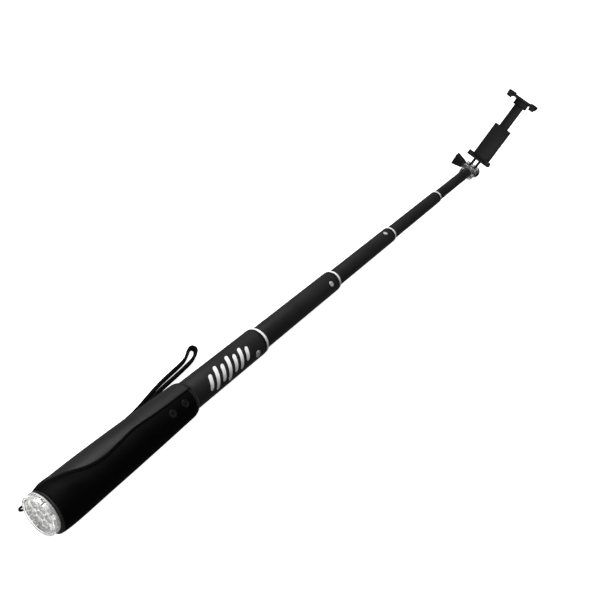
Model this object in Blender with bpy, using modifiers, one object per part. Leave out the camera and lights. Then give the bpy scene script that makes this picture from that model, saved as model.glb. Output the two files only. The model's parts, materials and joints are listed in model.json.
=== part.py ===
"""Telescopic selfie stick with a tail torch, a wrist strap and a sprung phone clamp.

The stick lies on the floor with its handle at -X and its clamp standing up at +X. Inside the file every
shape is drawn in the stick's own frame: X runs along the tubes from the grip's lower end, Y is to the left
and Z is up. One empty then carries the whole stick to the row's frame, whose origin is at the middle of
the underside.
"""
import bmesh
import bpy
from math import cos, exp, pi, radians, sin
from mathutils import Matrix, Vector

MM = 0.001

# ---- the row's frame ----
ORIGIN_X = 350.4 * MM
ORIGIN_Y = 2.35 * MM
AXIS_HEIGHT = 14.0 * MM  # of the tubes' axis over the floor

# ---- tubes, from the handle to the clamp ----
TUBE_OUTER = [22.4 * MM, 19.0 * MM, 15.6 * MM, 13.5 * MM, 11.6 * MM]
TUBE_INNER = [20.8 * MM, 17.4 * MM, 14.6 * MM, 12.5 * MM, 10.4 * MM]
MOUTHS = [204.8 * MM, 319.4 * MM, 433.4 * MM, 550.6 * MM]  # the white rings
MAIN_TUBE_START = 16.0 * MM
LAST_TUBE_END = 643.6 * MM
TUBE_OVERLAP = 25.0 * MM  # how far a drawn-out tube still reaches into the one before
CAP_FLANGE = 3.0 * MM  # length of an end cap outside its tube
CAP_SPIGOT = 18.0 * MM
CAP_ROUNDING = 1.2 * MM
RING_LENGTH = 2.3 * MM
RING_SHARE = 0.85  # how far a white ring reaches from its bore to the outside of its tube
RING_CHAMFER = 0.4 * MM
BUSH_COLLAR = 6.0 * MM
BUSH_SPIGOT = 5.0 * MM
SLIDING_GAP = 0.12 * MM
GLUED_GAP = 0.05 * MM
RIVET_BEFORE_MOUTH = 13.2 * MM
RIVET_DIAMETER = [5.5 * MM, 5.0 * MM, 4.5 * MM]
RIVET_ANGLE = [62.5, 28.0, -10.0]  # degrees from the top towards -Y

# ---- grip ----
GRIP_LENGTH = 122.0 * MM
GRIP_BORE = 22.7 * MM
GRIP_FLAT = AXIS_HEIGHT  # half height of the flattened underside
PANEL_START = 1.0 * MM
PANEL_END = 117.5 * MM
PANEL_THICKNESS = 1.4 * MM
PANEL_GAP = 0.45 * MM
PANEL_LAST_ANGLE = 150.0
PANEL_EDGE_GAP = 2.6  # degrees between the panel and the raised edge
GRIP_TOP_RISE = 0.9 * MM
# (x in mm, mm) how deep the panel sinks beside the raised edge
CREASE_DEPTH = [(0, 0.2), (8, 0.7), (24, 1.5), (50, 1.3), (75, 0.8), (122, 0.6)]
CREASE_LIP = 0.5 * MM
CREASE_WIDTH = 24.0  # degrees
# (x in mm, radius in mm) of the right side and of the left side
GRIP_RIGHT = [(0, 15.5), (3, 16.0), (12, 16.3), (35, 15.8), (68, 15.1), (97, 14.35), (118, 13.7)]
GRIP_LEFT = [(0, 13.0), (5, 13.9), (12, 14.4), (35, 14.7), (68, 14.3), (97, 13.6), (118, 13.0)]
# (x in mm, degrees from the top towards -Y) of the raised edge
CREASE = [(0, -108), (6, -78), (11, -47), (20, -18), (30, -1), (42, 3.5), (54, 0), (68, -4.5), (88, -0.5),
          (122, 2)]
GRIP_STATIONS = [2.6, 5.2, 8, 11, 14.5, 18.5, 23, 28.5, 36, 45, 56, 68, 82, 97, 110]  # in mm
GRIP_NOSE = [(118.6, 0.98), (120.6, 0.93), (121.7, 0.87)]  # (x in mm, share of the radius)

# ---- buttons and electronics ----
BUTTON_X = [96.5 * MM, 109.0 * MM]
BUTTON_ANGLE = 27.0
BUTTON_DIAMETER = 6.0 * MM
BUTTON_BASE = 13.0 * MM  # distance of a button's underside from the axis
BUTTON_PROUD = 0.25 * MM
BOARD_SIZE = (25.0 * MM, 6.4 * MM, 0.5 * MM)
BOARD_BASE = 11.7 * MM
DOME_HEIGHT = 0.35 * MM
CABLE_SIZE = (2.4 * MM, 0.3 * MM)
CABLE_START = 3.0 * MM

# ---- tail torch ----
TORCH_RADIUS = 13.2 * MM
TORCH_FRONT = -4.4 * MM
TORCH_LIP = 1.2 * MM
LENS_THICKNESS = 1.0 * MM
REFLECTOR_THICKNESS = 3.6 * MM
CUP_RING_RADIUS = 7.6 * MM
CUP_COUNT = 6
CUP_MOUTH = 3.3 * MM
CUP_FLOOR = 1.5 * MM
LED_RADIUS = 1.2 * MM
STRAP_RING_RADIUS = 13.6 * MM
LUG_ANGLE = -132.0
LUG_RADIUS = 15.4 * MM
LUG_OUTER = 2.2 * MM
LUG_HOLE = 1.15 * MM
BATTERY_DIAMETER = 16.5 * MM
BATTERY_LENGTH = 34.5 * MM
BATTERY_START = 22.0 * MM

# ---- wrist strap ----
STRAP_TUBE = 3.0 * MM
STRAP_HEIGHT = 2.5 * MM  # of the strap's middle over the floor
CRIMP_START = 9.0 * MM
CRIMP_END = 16.0 * MM
CRIMP_Y = 14.6 * MM
CRIMP_HALF = (2.9 * MM, 2.45 * MM)
# right leg out to the tip and left leg back, in mm along X and Y
STRAP_ROUTE = [(16.4, 12.9), (24, 12.8), (40, 12.9), (62, 13.1), (80, 13.6), (92, 14.8), (104, 16.8),
               (114, 18.4), (123, 19.5), (136, 20.4), (148, 21.4), (158, 22.6), (165, 24.9),
               (168.6, 27.9), (167.6, 30.6), (164.6, 31.0), (160.4, 28.9), (154.5, 26.4), (147, 25.2),
               (136, 24.2), (123, 22.9), (110, 20.7), (98, 18.5), (86, 17.0), (62, 16.3), (40, 16.2),
               (24, 16.2), (16.4, 16.2)]

# ---- knuckle and thumb screw ----
HINGE_X = 658.2 * MM
COLLAR_RADIUS = 6.6 * MM
KNUCKLE_BASE = (645.8 * MM, 650.2 * MM)
BASE_ROUNDING = 3.0 * MM
PRONG_TAIL = 4.8 * MM
PRONG_RADIUS = 6.9 * MM
MIDDLE_PRONG = 3.8 * MM
OUTER_PRONG = (4.9 * MM, 8.5 * MM)
NUT_BOSS_RADIUS = 5.4 * MM
NUT_BOSS_END = -10.4 * MM
FORK_PRONG = (2.2 * MM, 4.5 * MM)
FORK_RADIUS = 6.3 * MM
BOLT_RADIUS = 2.5 * MM
BOLT_HOLE = 2.65 * MM
BOLT_END = -11.9 * MM
NUT_ACROSS_FLATS = 8.0 * MM
NUT_SPAN = (-11.2 * MM, -8.0 * MM)
KNOB_SPAN = (9.2 * MM, 24.2 * MM)
KNOB_HALF_HEIGHTS = (4.3 * MM, 7.7 * MM)
KNOB_THICKNESS = 6.4 * MM

# ---- clamp, in its own frame: +X to the phone's back, +Z up along the phone ----
CLAMP_TILT = 17.5  # degrees, leaning away from the handle
PHONE_LOW = 17.5 * MM
JAW_OPENING = 77.9 * MM
PHONE_BACK = 11.6 * MM
JAW_FRONT = -2.4 * MM
LOWER_JAW_WIDTH = 31.0 * MM
UPPER_JAW_WIDTH = 38.4 * MM
JAW_BAR = 2.4 * MM
UPPER_JAW_BAR = 3.2 * MM
BUMP_HEIGHT = 1.4 * MM
JOINT_STEP = 0.3 * MM  # moulded steps between joined shapes
PAD_HEIGHT = 1.6 * MM
UPPER_PAD_HEIGHT = 0.8 * MM
PAD_GAP = 0.1 * MM
LIP_LENGTH = 7.0 * MM
RAIL_HALF_WIDTH = 11.0 * MM
RAIL_TOP = 60.0 * MM
RAIL_DEPTH = 6.4 * MM
WALL = 1.4 * MM
STEM_HALF_WIDTH = 5.8 * MM
STEM_ROOT_HALF_WIDTH = 8.5 * MM
STEM_LOW = 40.0 * MM
SPRING_WIRE = 0.5 * MM
SPRING_DIAMETER = 2.6 * MM
SPRING_TURNS = 8
SCREW_DIAMETER = 2.4 * MM

FACETS = 40
SMALL_FACETS = 24
MERGE = 0.00001


# ---- scene, materials and helpers ----
def clear_scene():
    for old in list(bpy.data.objects):
        bpy.data.objects.remove(old, do_unlink=True)


def new_collection(name):
    group = bpy.data.collections.new(name)
    bpy.context.scene.collection.children.link(group)
    return group


def new_material(name, color, roughness, metallic=0.0):
    material = bpy.data.materials.new(name)
    material.use_nodes = True
    shader = material.node_tree.nodes["Principled BSDF"]
    shader.inputs["Base Color"].default_value = (*color, 1.0)
    shader.inputs["Roughness"].default_value = roughness
    shader.inputs["Metallic"].default_value = metallic
    return material


def place(obj, parent, location=(0, 0, 0), rotation=(0, 0, 0)):
    obj.parent = parent
    obj.location = location
    obj.rotation_euler = rotation
    return obj


def empty(name, parent=None, location=(0, 0, 0), rotation=(0, 0, 0)):
    obj = bpy.data.objects.new(name, None)
    parts.objects.link(obj)
    return place(obj, parent, location, rotation)


def add_object(name, mesh, material, group=None):
    obj = bpy.data.objects.new(name, mesh)
    (group or parts).objects.link(obj)
    if material:
        mesh.materials.append(material)
    return obj


def smooth(mesh, angle=35):
    mesh.shade_smooth()
    mesh.set_sharp_from_angle(angle=radians(angle))


def mesh_object(name, bm, material, parent, location=(0, 0, 0), rotation=(0, 0, 0), group=None):
    """A node from a finished bmesh."""
    mesh = bpy.data.meshes.new(name)
    bm.to_mesh(mesh)
    bm.free()
    smooth(mesh)
    return place(add_object(name, mesh, material, group), parent, location, rotation)


def turned(name, profile, material, parent, location=(0, 0, 0), rotation=(0, pi / 2, 0), facets=FACETS,
           group=None):
    """A turned node. The profile lists (radius, length along the axis), down its outer side first."""
    hollow = profile[0][0] > 0
    mesh = bpy.data.meshes.new(name)
    count = len(profile)
    edges = [(i, i + 1) for i in range(count - 1)]
    if hollow:
        edges.append((count - 1, 0))
    mesh.from_pydata([(r, 0, s) for r, s in profile], edges, [])
    obj = place(add_object(name, mesh, material, group), parent, location, rotation)
    screw = obj.modifiers.new("turn", "SCREW")
    screw.axis = "Z"
    screw.steps = facets
    screw.render_steps = facets
    screw.use_merge_vertices = True
    screw.merge_threshold = MERGE
    return obj


def ring_profile(inner, outer, start, end):
    """The closed outline of a plain tube, by its two diameters."""
    return [(outer / 2, end), (outer / 2, start), (inner / 2, start), (inner / 2, end)]


def disc_profile(radius, start, end):
    return [(0, end), (radius, end), (radius, start), (0, start)]


def box_bmesh(low, high):
    bm = bmesh.new()
    bmesh.ops.create_cube(bm, size=1.0)
    low, high = Vector(low), Vector(high)
    size = high - low
    bmesh.ops.transform(bm, matrix=Matrix.Translation((low + high) / 2) @ Matrix.Diagonal((*size, 1)),
                        verts=bm.verts)
    return bm


def box(name, low, high, material, parent, location=(0, 0, 0), rotation=(0, 0, 0), group=None):
    return mesh_object(name, box_bmesh(low, high), material, parent, location, rotation, group)


def bevel(obj, width, segments=2, angle=40):
    modifier = obj.modifiers.new("round", "BEVEL")
    modifier.width = width
    modifier.segments = segments
    modifier.limit_method = "ANGLE"
    modifier.angle_limit = radians(angle)
    return modifier


def plate(name, outline, low, high, material, parent, location=(0, 0, 0), rotation=(0, 0, 0), group=None):
    """A flat outline of (x, z) points, thickened from low to high along Y."""
    bm = bmesh.new()
    face = bm.faces.new([bm.verts.new((x, low, z)) for x, z in outline])
    result = bmesh.ops.extrude_face_region(bm, geom=[face])
    moved = [item for item in result["geom"] if isinstance(item, bmesh.types.BMVert)]
    bmesh.ops.translate(bm, verts=moved, vec=(0, high - low, 0))
    bmesh.ops.recalc_face_normals(bm, faces=bm.faces)
    return mesh_object(name, bm, material, parent, location, rotation, group)


def combine(obj, other, operation):
    modifier = obj.modifiers.new(other.name, "BOOLEAN")
    modifier.operation = operation
    modifier.object = other
    other.hide_render = True
    other.display_type = "WIRE"
    return obj


def cut(obj, *cutters):
    for cutter in cutters:
        combine(obj, cutter, "DIFFERENCE")
    return obj


def join(obj, *others):
    for other in others:
        combine(obj, other, "UNION")
    return obj


def curve_object(name, points, radius, material, parent, cyclic=False, resolution=2, location=(0, 0, 0),
                 rotation=(0, 0, 0)):
    curve = bpy.data.curves.new(name, "CURVE")
    curve.dimensions = "3D"
    spline = curve.splines.new("POLY")
    spline.points.add(len(points) - 1)
    for spot, point in zip(spline.points, points):
        spot.co = (*point, 1)
    spline.use_cyclic_u = cyclic
    curve.bevel_depth = radius
    curve.bevel_resolution = resolution
    curve.use_fill_caps = not cyclic
    curve.materials.append(material)
    obj = bpy.data.objects.new(name, curve)
    parts.objects.link(obj)
    return place(obj, parent, location, rotation)


def along(points, x):
    """The value at x of a smooth curve through (x, value) points."""
    if x <= points[0][0]:
        return points[0][1]
    if x >= points[-1][0]:
        return points[-1][1]
    last = len(points) - 1
    i = next(k for k in range(last) if points[k + 1][0] >= x)
    slope = [(points[min(k + 1, last)][1] - points[max(k - 1, 0)][1])
             / (points[min(k + 1, last)][0] - points[max(k - 1, 0)][0]) for k in (i, i + 1)]
    span = points[i + 1][0] - points[i][0]
    t = (x - points[i][0]) / span
    value = (2 * t ** 3 - 3 * t * t + 1) * points[i][1] + (3 * t * t - 2 * t ** 3) * points[i + 1][1]
    return value + span * ((t ** 3 - 2 * t * t + t) * slope[0] + (t ** 3 - t * t) * slope[1])


def smooth_route(points, spacing):
    """Points every spacing or so on a smooth curve through the route's own points."""
    route = []
    for i in range(len(points) - 1):
        a, b, c, d = (Vector(points[min(max(k, 0), len(points) - 1)]) for k in range(i - 1, i + 3))
        steps = max(1, round((c - b).length / spacing))
        for step in range(steps):
            t = step / steps
            route.append(b + t * ((c - a) / 2 + t * ((2 * a - 5 * b + 4 * c - d) / 2
                                                    + t * (3 * b - 3 * c + d - a) / 2)))
    route.append(Vector(points[-1]))
    return route


# ---- telescopic tubes ----
def around(radius, angle):
    """The (y, z) point at an angle in degrees from the top towards -Y."""
    return -radius * sin(radians(angle)), radius * cos(radians(angle))


def build_tube(index, parent, base):
    """One tube with its end cap, white ring, rivet and guide bush. base is the parent's own x."""
    number = index + 1
    outer, inner = TUBE_OUTER[index], TUBE_INNER[index]
    start = MAIN_TUBE_START if index == 0 else MOUTHS[index - 1] - TUBE_OVERLAP
    end = LAST_TUBE_END if index == 4 else MOUTHS[index] - RING_LENGTH / 2 - CAP_FLANGE
    name = "main_tube" if index == 0 else f"tube_{number}"
    shift = (-base, 0, 0)
    tube = turned(name, ring_profile(inner, outer, start, end), black_aluminium, parent, shift)
    if index > 0:
        build_guide_bush(number, TUBE_INNER[index - 1], inner, start, parent, shift)
    if index < 4:
        build_end_cap(number, outer, inner, TUBE_OUTER[index + 1], end, parent, shift)
    if index < 3:
        build_rivet(index, tube, parent, base)
    return tube


def build_guide_bush(number, around_it, inside_it, start, parent, shift):
    collar = around_it / 2 - SLIDING_GAP
    spigot = inside_it / 2 - GLUED_GAP
    bore = inside_it / 2 - 0.7 * MM
    low = start - BUSH_COLLAR
    profile = [(spigot, start + BUSH_SPIGOT), (spigot, start - GLUED_GAP), (collar, start - GLUED_GAP),
               (collar, low), (bore, low), (bore, start + BUSH_SPIGOT)]
    turned(f"guide_bush_{number}", profile, black_plastic, parent, shift)


def build_end_cap(number, outer, inner, passing, end, parent, shift):
    bore = passing / 2 + SLIDING_GAP
    spigot = inner / 2 - GLUED_GAP
    rim = outer / 2
    front = end + CAP_FLANGE
    corner = rim - CAP_ROUNDING
    profile = [(corner, front)]
    for step in (60, 30, 0):
        profile.append((corner + CAP_ROUNDING * cos(radians(step)),
                        front - CAP_ROUNDING + CAP_ROUNDING * sin(radians(step))))
    profile += [(rim, end + GLUED_GAP), (spigot, end + GLUED_GAP), (spigot, end - CAP_SPIGOT),
                (bore, end - CAP_SPIGOT), (bore, front)]
    turned(f"end_cap_{number}", profile, black_plastic, parent, shift)
    white = bore + RING_SHARE * (rim - bore)
    ring_start = front + GLUED_GAP
    ring_end = ring_start + RING_LENGTH
    profile = [(white - RING_CHAMFER, ring_end), (white, ring_end - RING_CHAMFER),
               (white, ring_start), (bore, ring_start), (bore, ring_end)]
    turned(f"white_ring_{number}", profile, white_plastic, parent, shift)


def build_rivet(index, tube, parent, base):
    angle = RIVET_ANGLE[index]
    radius = RIVET_DIAMETER[index] / 2
    surface = TUBE_OUTER[index] / 2
    floor = TUBE_INNER[index] / 2 + 0.05 * MM
    x = MOUTHS[index] - RIVET_BEFORE_MOUTH - base
    turn = (radians(angle), 0, 0)
    drill = turned(f"rivet_{index + 1}_drill", disc_profile(radius + 0.12 * MM, 5 * MM, surface + 2 * MM),
                   None, parent, (x, 0, 0), turn, SMALL_FACETS, cutters)
    cut(tube, drill)
    head = surface + 0.12 * MM
    profile = [(0, head), (radius - 0.2 * MM, head), (radius, head - 0.2 * MM), (radius, floor), (0, floor)]
    turned(f"rivet_{index + 1}", profile, rivet_metal, parent, (x, 0, 0), turn, SMALL_FACETS)


# ---- grip ----
def crease_at(x):
    return along(CREASE, x / MM)


def grip_radius(x, angle):
    """The radius of the plain grip, before the raised edge, with its underside flattened."""
    right, left = along(GRIP_RIGHT, x / MM) * MM, along(GRIP_LEFT, x / MM) * MM
    share = (1 + sin(radians(angle))) / 2
    radius = left + (right - left) * share + GRIP_TOP_RISE * max(0, cos(radians(angle))) ** 2
    below = -cos(radians(angle))
    if below * radius > GRIP_FLAT:
        radius = GRIP_FLAT / below
    return radius


def panel_radius(x, angle):
    fall = exp(-((angle - crease_at(x)) / CREASE_WIDTH) ** 2)
    return grip_radius(x, angle) - along(CREASE_DEPTH, x / MM) * MM * fall


def shell_radius(x, angle):
    beyond = crease_at(x) - angle + (360 if angle > crease_at(x) else 0)
    return grip_radius(x, angle) + CREASE_LIP * exp(-(beyond / CREASE_WIDTH) ** 2)


def spread(first, last, count):
    return [first + (last - first) * i / (count - 1) for i in range(count)]


def grip_ring(x, share=1.0, recessed=False):
    """One section of the sleeve: the panel's bed first, then the shell round to the raised edge."""
    first, last = crease_at(x), PANEL_LAST_ANGLE
    section = []
    bed = PANEL_THICKNESS + PANEL_GAP
    for angle in spread(first, last, 16):
        radius = panel_radius(x, angle) - bed if recessed else panel_radius(x, angle)
        section.append(Vector((x, *around(radius * share, angle))))
    for angle in spread(last + 0.6, first + 360 - 0.6, 22):
        section.append(Vector((x, *around(shell_radius(x, angle) * share, angle))))
    return section


def loft(sections):
    """A closed solid through sections of equal counts, listed towards +X and turning from +Z to -Y."""
    bm = bmesh.new()
    rings = [[bm.verts.new(point) for point in section] for section in sections]
    count = len(rings[0])
    for one, two in zip(rings, rings[1:]):
        for i in range(count):
            j = (i + 1) % count
            bm.faces.new((one[i], one[j], two[j], two[i]))
    bm.faces.new(rings[0])
    bm.faces.new(list(reversed(rings[-1])))
    bmesh.ops.recalc_face_normals(bm, faces=bm.faces)
    return bm


def build_grip(parent):
    inside = [PANEL_START, *(x * MM for x in GRIP_STATIONS), PANEL_END]
    sections = [grip_ring(0, 0.985), grip_ring(0.5 * MM), grip_ring(PANEL_START - 0.1 * MM)]
    sections += [grip_ring(x, recessed=True) for x in inside]
    sections += [grip_ring(PANEL_END + 0.1 * MM)]
    sections += [grip_ring(x * MM, share) for x, share in GRIP_NOSE]
    sleeve = mesh_object("grip_sleeve", loft(sections), grip_rubber, parent)
    bore = turned("grip_bore", disc_profile(GRIP_BORE / 2, -5 * MM, GRIP_LENGTH + 5 * MM), None, parent,
                  group=cutters)
    cut(sleeve, bore)
    build_panel(parent, inside)
    return sleeve


def build_panel(parent, stations):
    """The cover of the buttons: an open surface over its bed, thickened inwards."""
    margin = 0.25 * MM
    stations = [stations[0] + margin, *stations[1:-1], stations[-1] - margin]
    bm = bmesh.new()
    grid = []
    for x in stations:
        first = crease_at(x) + PANEL_EDGE_GAP
        last = PANEL_LAST_ANGLE - 1.5
        points = [Vector((x, *around(panel_radius(x, angle), angle))) for angle in spread(first, last, 18)]
        grid.append([bm.verts.new(point) for point in points])
    for one, two in zip(grid, grid[1:]):
        for i in range(len(one) - 1):
            bm.faces.new((one[i], one[i + 1], two[i + 1], two[i]))
    panel = mesh_object("grip_panel", bm, panel_rubber, parent)
    shell = panel.modifiers.new("thickness", "SOLIDIFY")
    shell.thickness = PANEL_THICKNESS
    shell.offset = -1
    return panel


# ---- buttons and electronics ----
def build_controls(parent, sleeve, panel):
    turn = (radians(BUTTON_ANGLE), 0, 0)
    middle = sum(BUTTON_X) / 2
    frame = empty("button_row", parent, (middle, 0, 0), turn)
    length, width, height = BOARD_SIZE
    low = BOARD_BASE
    box("control_board", (-length / 2, -width / 2, low), (length / 2, width / 2, low + height),
        board_green, frame)
    window = box("board_window", (-length / 2 - MM, -width / 2 - MM, low - 2 * MM),
                 (length / 2 + MM, width / 2 + MM, low + 8 * MM), None, frame, group=cutters)
    cut(sleeve, window)
    room = box("panel_room", (-length / 2 - MM, -width / 2 - 0.6 * MM, low - 2 * MM),
               (length / 2 + MM, width / 2 + 0.6 * MM, BUTTON_BASE - 0.15 * MM), None, frame, group=cutters)
    cut(panel, room)
    for number, x in enumerate(BUTTON_X, 1):
        axis = empty(f"button_{number}_axis", parent, (x, 0, 0), turn)
        hole = turned(f"button_{number}_hole",
                      disc_profile(BUTTON_DIAMETER / 2 + 0.2 * MM, 8 * MM, 20 * MM), None, axis,
                      rotation=(0, 0, 0), facets=32, group=cutters)
        cut(panel, hole)
        dome_base = low + height + 0.04 * MM
        dome = [(0, dome_base + DOME_HEIGHT), (1.0 * MM, dome_base + 0.85 * DOME_HEIGHT),
                (1.9 * MM, dome_base + 0.3 * DOME_HEIGHT), (2.1 * MM, dome_base), (0, dome_base)]
        turned(f"switch_dome_{number}", dome, spring_steel, axis, rotation=(0, 0, 0), facets=SMALL_FACETS)
        build_button(number, axis, x)
    reach = CABLE_START
    cable_low = GRIP_BORE / 2 - 0.05 * MM
    wide, thick = CABLE_SIZE
    end = -length / 2 - 0.4 * MM
    box("flex_cable", (reach - middle, -wide / 2, cable_low), (end, wide / 2, cable_low + thick),
        cable_orange, frame)
    groove = box("cable_groove", (-GRIP_LENGTH, -wide / 2 - 0.3 * MM, cable_low - 2 * MM),
                 (end + MM, wide / 2 + 0.3 * MM, cable_low + thick + 0.2 * MM), None, frame, group=cutters)
    cut(sleeve, groove)


def build_button(number, axis, x):
    """A round key whose plunger stops just over its switch dome."""
    radius = BUTTON_DIAMETER / 2
    top = panel_radius(x, BUTTON_ANGLE) + BUTTON_PROUD
    base = BUTTON_BASE
    name = ("shutter_button", "light_button")[number - 1]
    profile = [(0, top - 0.25 * MM), (1.1 * MM, top - 0.2 * MM), (1.6 * MM, top),
               (radius - 0.3 * MM, top), (radius, top - 0.3 * MM), (radius, base), (0, base)]
    turned(name, profile, key_rubber, axis, rotation=(0, 0, 0), facets=32)


# ---- tail torch, its battery and the strap ring ----
def build_torch(handle):
    """The torch head unscrews from the handle with its lamps and the battery's spring."""
    head = empty("torch_axis", handle)
    back = -1.5 * MM
    seat = TORCH_FRONT + TORCH_LIP
    bore = TORCH_RADIUS - 1.3 * MM
    profile = [(TORCH_RADIUS, back), (TORCH_RADIUS, TORCH_FRONT + 0.5 * MM),
               (TORCH_RADIUS - 0.5 * MM, TORCH_FRONT), (bore - 0.5 * MM, TORCH_FRONT),
               (bore - 0.5 * MM, seat), (bore, seat), (bore, back)]
    turned("torch_bezel", profile, clear_plastic, head)
    lens_start = seat + 0.05 * MM
    lens_end = lens_start + LENS_THICKNESS
    turned("torch_lens", disc_profile(bore - 0.1 * MM, lens_start, lens_end), clear_plastic, head)
    plate_start = lens_end + 0.1 * MM
    plate_end = plate_start + REFLECTOR_THICKNESS
    reflector = turned("torch_reflector", [(0, plate_end), (9.6 * MM, plate_end), (9.6 * MM, back + 0.2 * MM),
                                           (bore - 0.1 * MM, back + 0.2 * MM), (bore - 0.1 * MM, plate_start),
                                           (0, plate_start)], chrome, head)
    board_start = plate_end + 0.1 * MM
    board = turned("led_board", disc_profile(9.6 * MM, board_start, board_start + MM), board_white, head)
    spots = [(0.0, 0.0)] + [around(CUP_RING_RADIUS * 0.86, 360 / CUP_COUNT * i) for i in range(CUP_COUNT)]
    for number, (y, z) in enumerate(spots, 1):
        cup = turned(f"cup_{number}",
                     [(0, plate_end + MM), (CUP_FLOOR, plate_end + MM), (CUP_FLOOR, plate_end - 0.6 * MM),
                      (0.88 * CUP_MOUTH, plate_start + 0.3 * MM), (0.88 * CUP_MOUTH, plate_start - MM),
                      (0, plate_start - MM)], None, head, (0, y, z), facets=16, group=cutters)
        cut(reflector, cup)
        led = turned(f"led_{number}", [(0, board_start + 0.5 * MM), (LED_RADIUS, board_start + 0.5 * MM),
                                       (LED_RADIUS, board_start - 0.9 * MM),
                                       (0.6 * LED_RADIUS, board_start - 1.7 * MM),
                                       (0, board_start - 1.9 * MM)],
                     None, head, (0, y, z), facets=12, group=cutters)
        join(board, led)
    cup_end = BATTERY_START - 6.0 * MM
    body_start = back + 0.3 * MM
    profile = [(9.9 * MM, cup_end), (9.9 * MM, body_start), (9.7 * MM, body_start),
               (9.7 * MM, board_start + 1.2 * MM), (3.0 * MM, board_start + 1.2 * MM), (3.0 * MM, cup_end)]
    turned("torch_housing", profile, black_plastic, head)
    spring_length = BATTERY_START - cup_end - 0.8 * MM
    steps = 4 * 12
    helix = []
    for i in range(steps + 1):
        angle = 2 * pi * i / 12
        radius = (4.4 - 2.0 * i / steps) * MM
        helix.append((cup_end + 0.4 * MM + spring_length * i / steps, radius * cos(angle),
                      radius * sin(angle)))
    curve_object("battery_spring", helix, 0.3 * MM, spring_steel, head)
    return head


def build_battery(handle):
    radius = BATTERY_DIAMETER / 2
    end = BATTERY_START + BATTERY_LENGTH
    profile = [(0, end + MM), (2.8 * MM, end + MM), (2.8 * MM, end), (radius - 0.5 * MM, end),
               (radius, end - 0.5 * MM), (radius, BATTERY_START + 0.5 * MM),
               (radius - 0.5 * MM, BATTERY_START), (0, BATTERY_START)]
    turned("battery", profile, battery_wrap, handle)
    sleeve = TUBE_INNER[0] / 2 - GLUED_GAP
    bore = radius + 0.25 * MM
    stop = end + 2.2 * MM
    profile = [(0, stop + 2.5 * MM), (sleeve, stop + 2.5 * MM), (sleeve, MAIN_TUBE_START + 0.5 * MM),
               (bore, MAIN_TUBE_START + 0.5 * MM), (bore, stop), (0, stop)]
    turned("battery_tube", profile, grey_plastic, handle)
    turned("battery_contact", [(0, stop - 0.1 * MM), (4.0 * MM, stop - 0.1 * MM),
                               (4.0 * MM, stop - 0.5 * MM), (1.5 * MM, stop - 1.0 * MM),
                               (0, stop - 1.0 * MM)], brass, handle, facets=SMALL_FACETS)


def build_strap(handle):
    """The ring with its lug, a thin loop through the lug, a crimp and the flat strap."""
    front, back = -1.25 * MM, -0.15 * MM
    ring = turned("strap_ring", ring_profile(2 * 10.6 * MM, 2 * STRAP_RING_RADIUS, front, back),
                  clear_plastic, handle)
    y, z = around(LUG_RADIUS, LUG_ANGLE)
    lug = turned("lug_ear", disc_profile(LUG_OUTER, front, back), None, handle, (0, y, z),
                 facets=SMALL_FACETS, group=cutters)
    hole = turned("lug_hole", disc_profile(LUG_HOLE, -4 * MM, 4 * MM), None, handle, (0, y, z),
                  facets=SMALL_FACETS, group=cutters)
    cut(join(ring, lug), hole)
    inner = Vector((0, *around(LUG_RADIUS, LUG_ANGLE)))
    outer = Vector((0, *around(LUG_RADIUS + 4.1 * MM, LUG_ANGLE)))
    crimp_z = STRAP_HEIGHT - AXIS_HEIGHT
    entry = [Vector((CRIMP_START - 0.8 * MM, CRIMP_Y + side * 0.95 * MM, crimp_z)) for side in (-1, 1)]
    bend = [inner + (outer - inner) * share + Vector((x * MM, 0, 0))
            for share, x in ((0, -2.4), (0.15, -3.4), (0.5, -3.9), (0.85, -3.4), (1, -2.4))]
    route = [entry[0], inner + Vector((2.6 * MM, 0.5 * MM, 0)), inner, *bend, outer,
             outer + Vector((3.4 * MM, 0.3 * MM, 0.2 * MM)), entry[1]]
    curve_object("strap_loop", smooth_route(route, 1.2 * MM), 0.75 * MM, strap_nylon, handle, resolution=2)
    half_y, half_z = CRIMP_HALF
    crimp = box("strap_crimp", (CRIMP_START, CRIMP_Y - half_y, crimp_z - half_z),
                (CRIMP_END, CRIMP_Y + half_y, crimp_z + half_z), black_plastic, handle)
    bevel(crimp, 1.0 * MM)
    points = [Vector((x * MM, y * MM, crimp_z)) for x, y in STRAP_ROUTE]
    curve_object("wrist_strap", smooth_route(points, 5.0 * MM), STRAP_TUBE / 2, strap_nylon, handle)


# ---- knuckle, thumb screw and clamp ----
def prong_outline(radius, reach, tail):
    """A round end about the hinge with a narrower tail: (along the tail, across) points."""
    points = [(radius * cos(radians(a)), radius * sin(radians(a))) for a in range(-120, 121, 15)]
    return [(-reach, -tail), *points, (-reach, tail)]


def base_outline():
    """A rectangle with rounded corners, a little larger than the prongs all round."""
    width, height = OUTER_PRONG[1] + JOINT_STEP, PRONG_RADIUS + JOINT_STEP
    points = []
    for side_y, side_z, first in ((1, 1, 0), (-1, 1, 90), (-1, -1, 180), (1, -1, 270)):
        for a in range(first, first + 91, 18):
            points.append((side_y * (width - BASE_ROUNDING) + BASE_ROUNDING * cos(radians(a)),
                           side_z * (height - BASE_ROUNDING) + BASE_ROUNDING * sin(radians(a))))
    return points


def hexagon(name, across_flats, span, material, parent, shift, group=None):
    bm = bmesh.new()
    radius = across_flats / 2 / cos(pi / 6)
    bmesh.ops.create_cone(bm, cap_ends=True, segments=6, radius1=radius, radius2=radius,
                          depth=span[1] - span[0])
    return mesh_object(name, bm, material, parent, (shift, sum(span) / 2, 0), (pi / 2, 0, 0), group)


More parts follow.
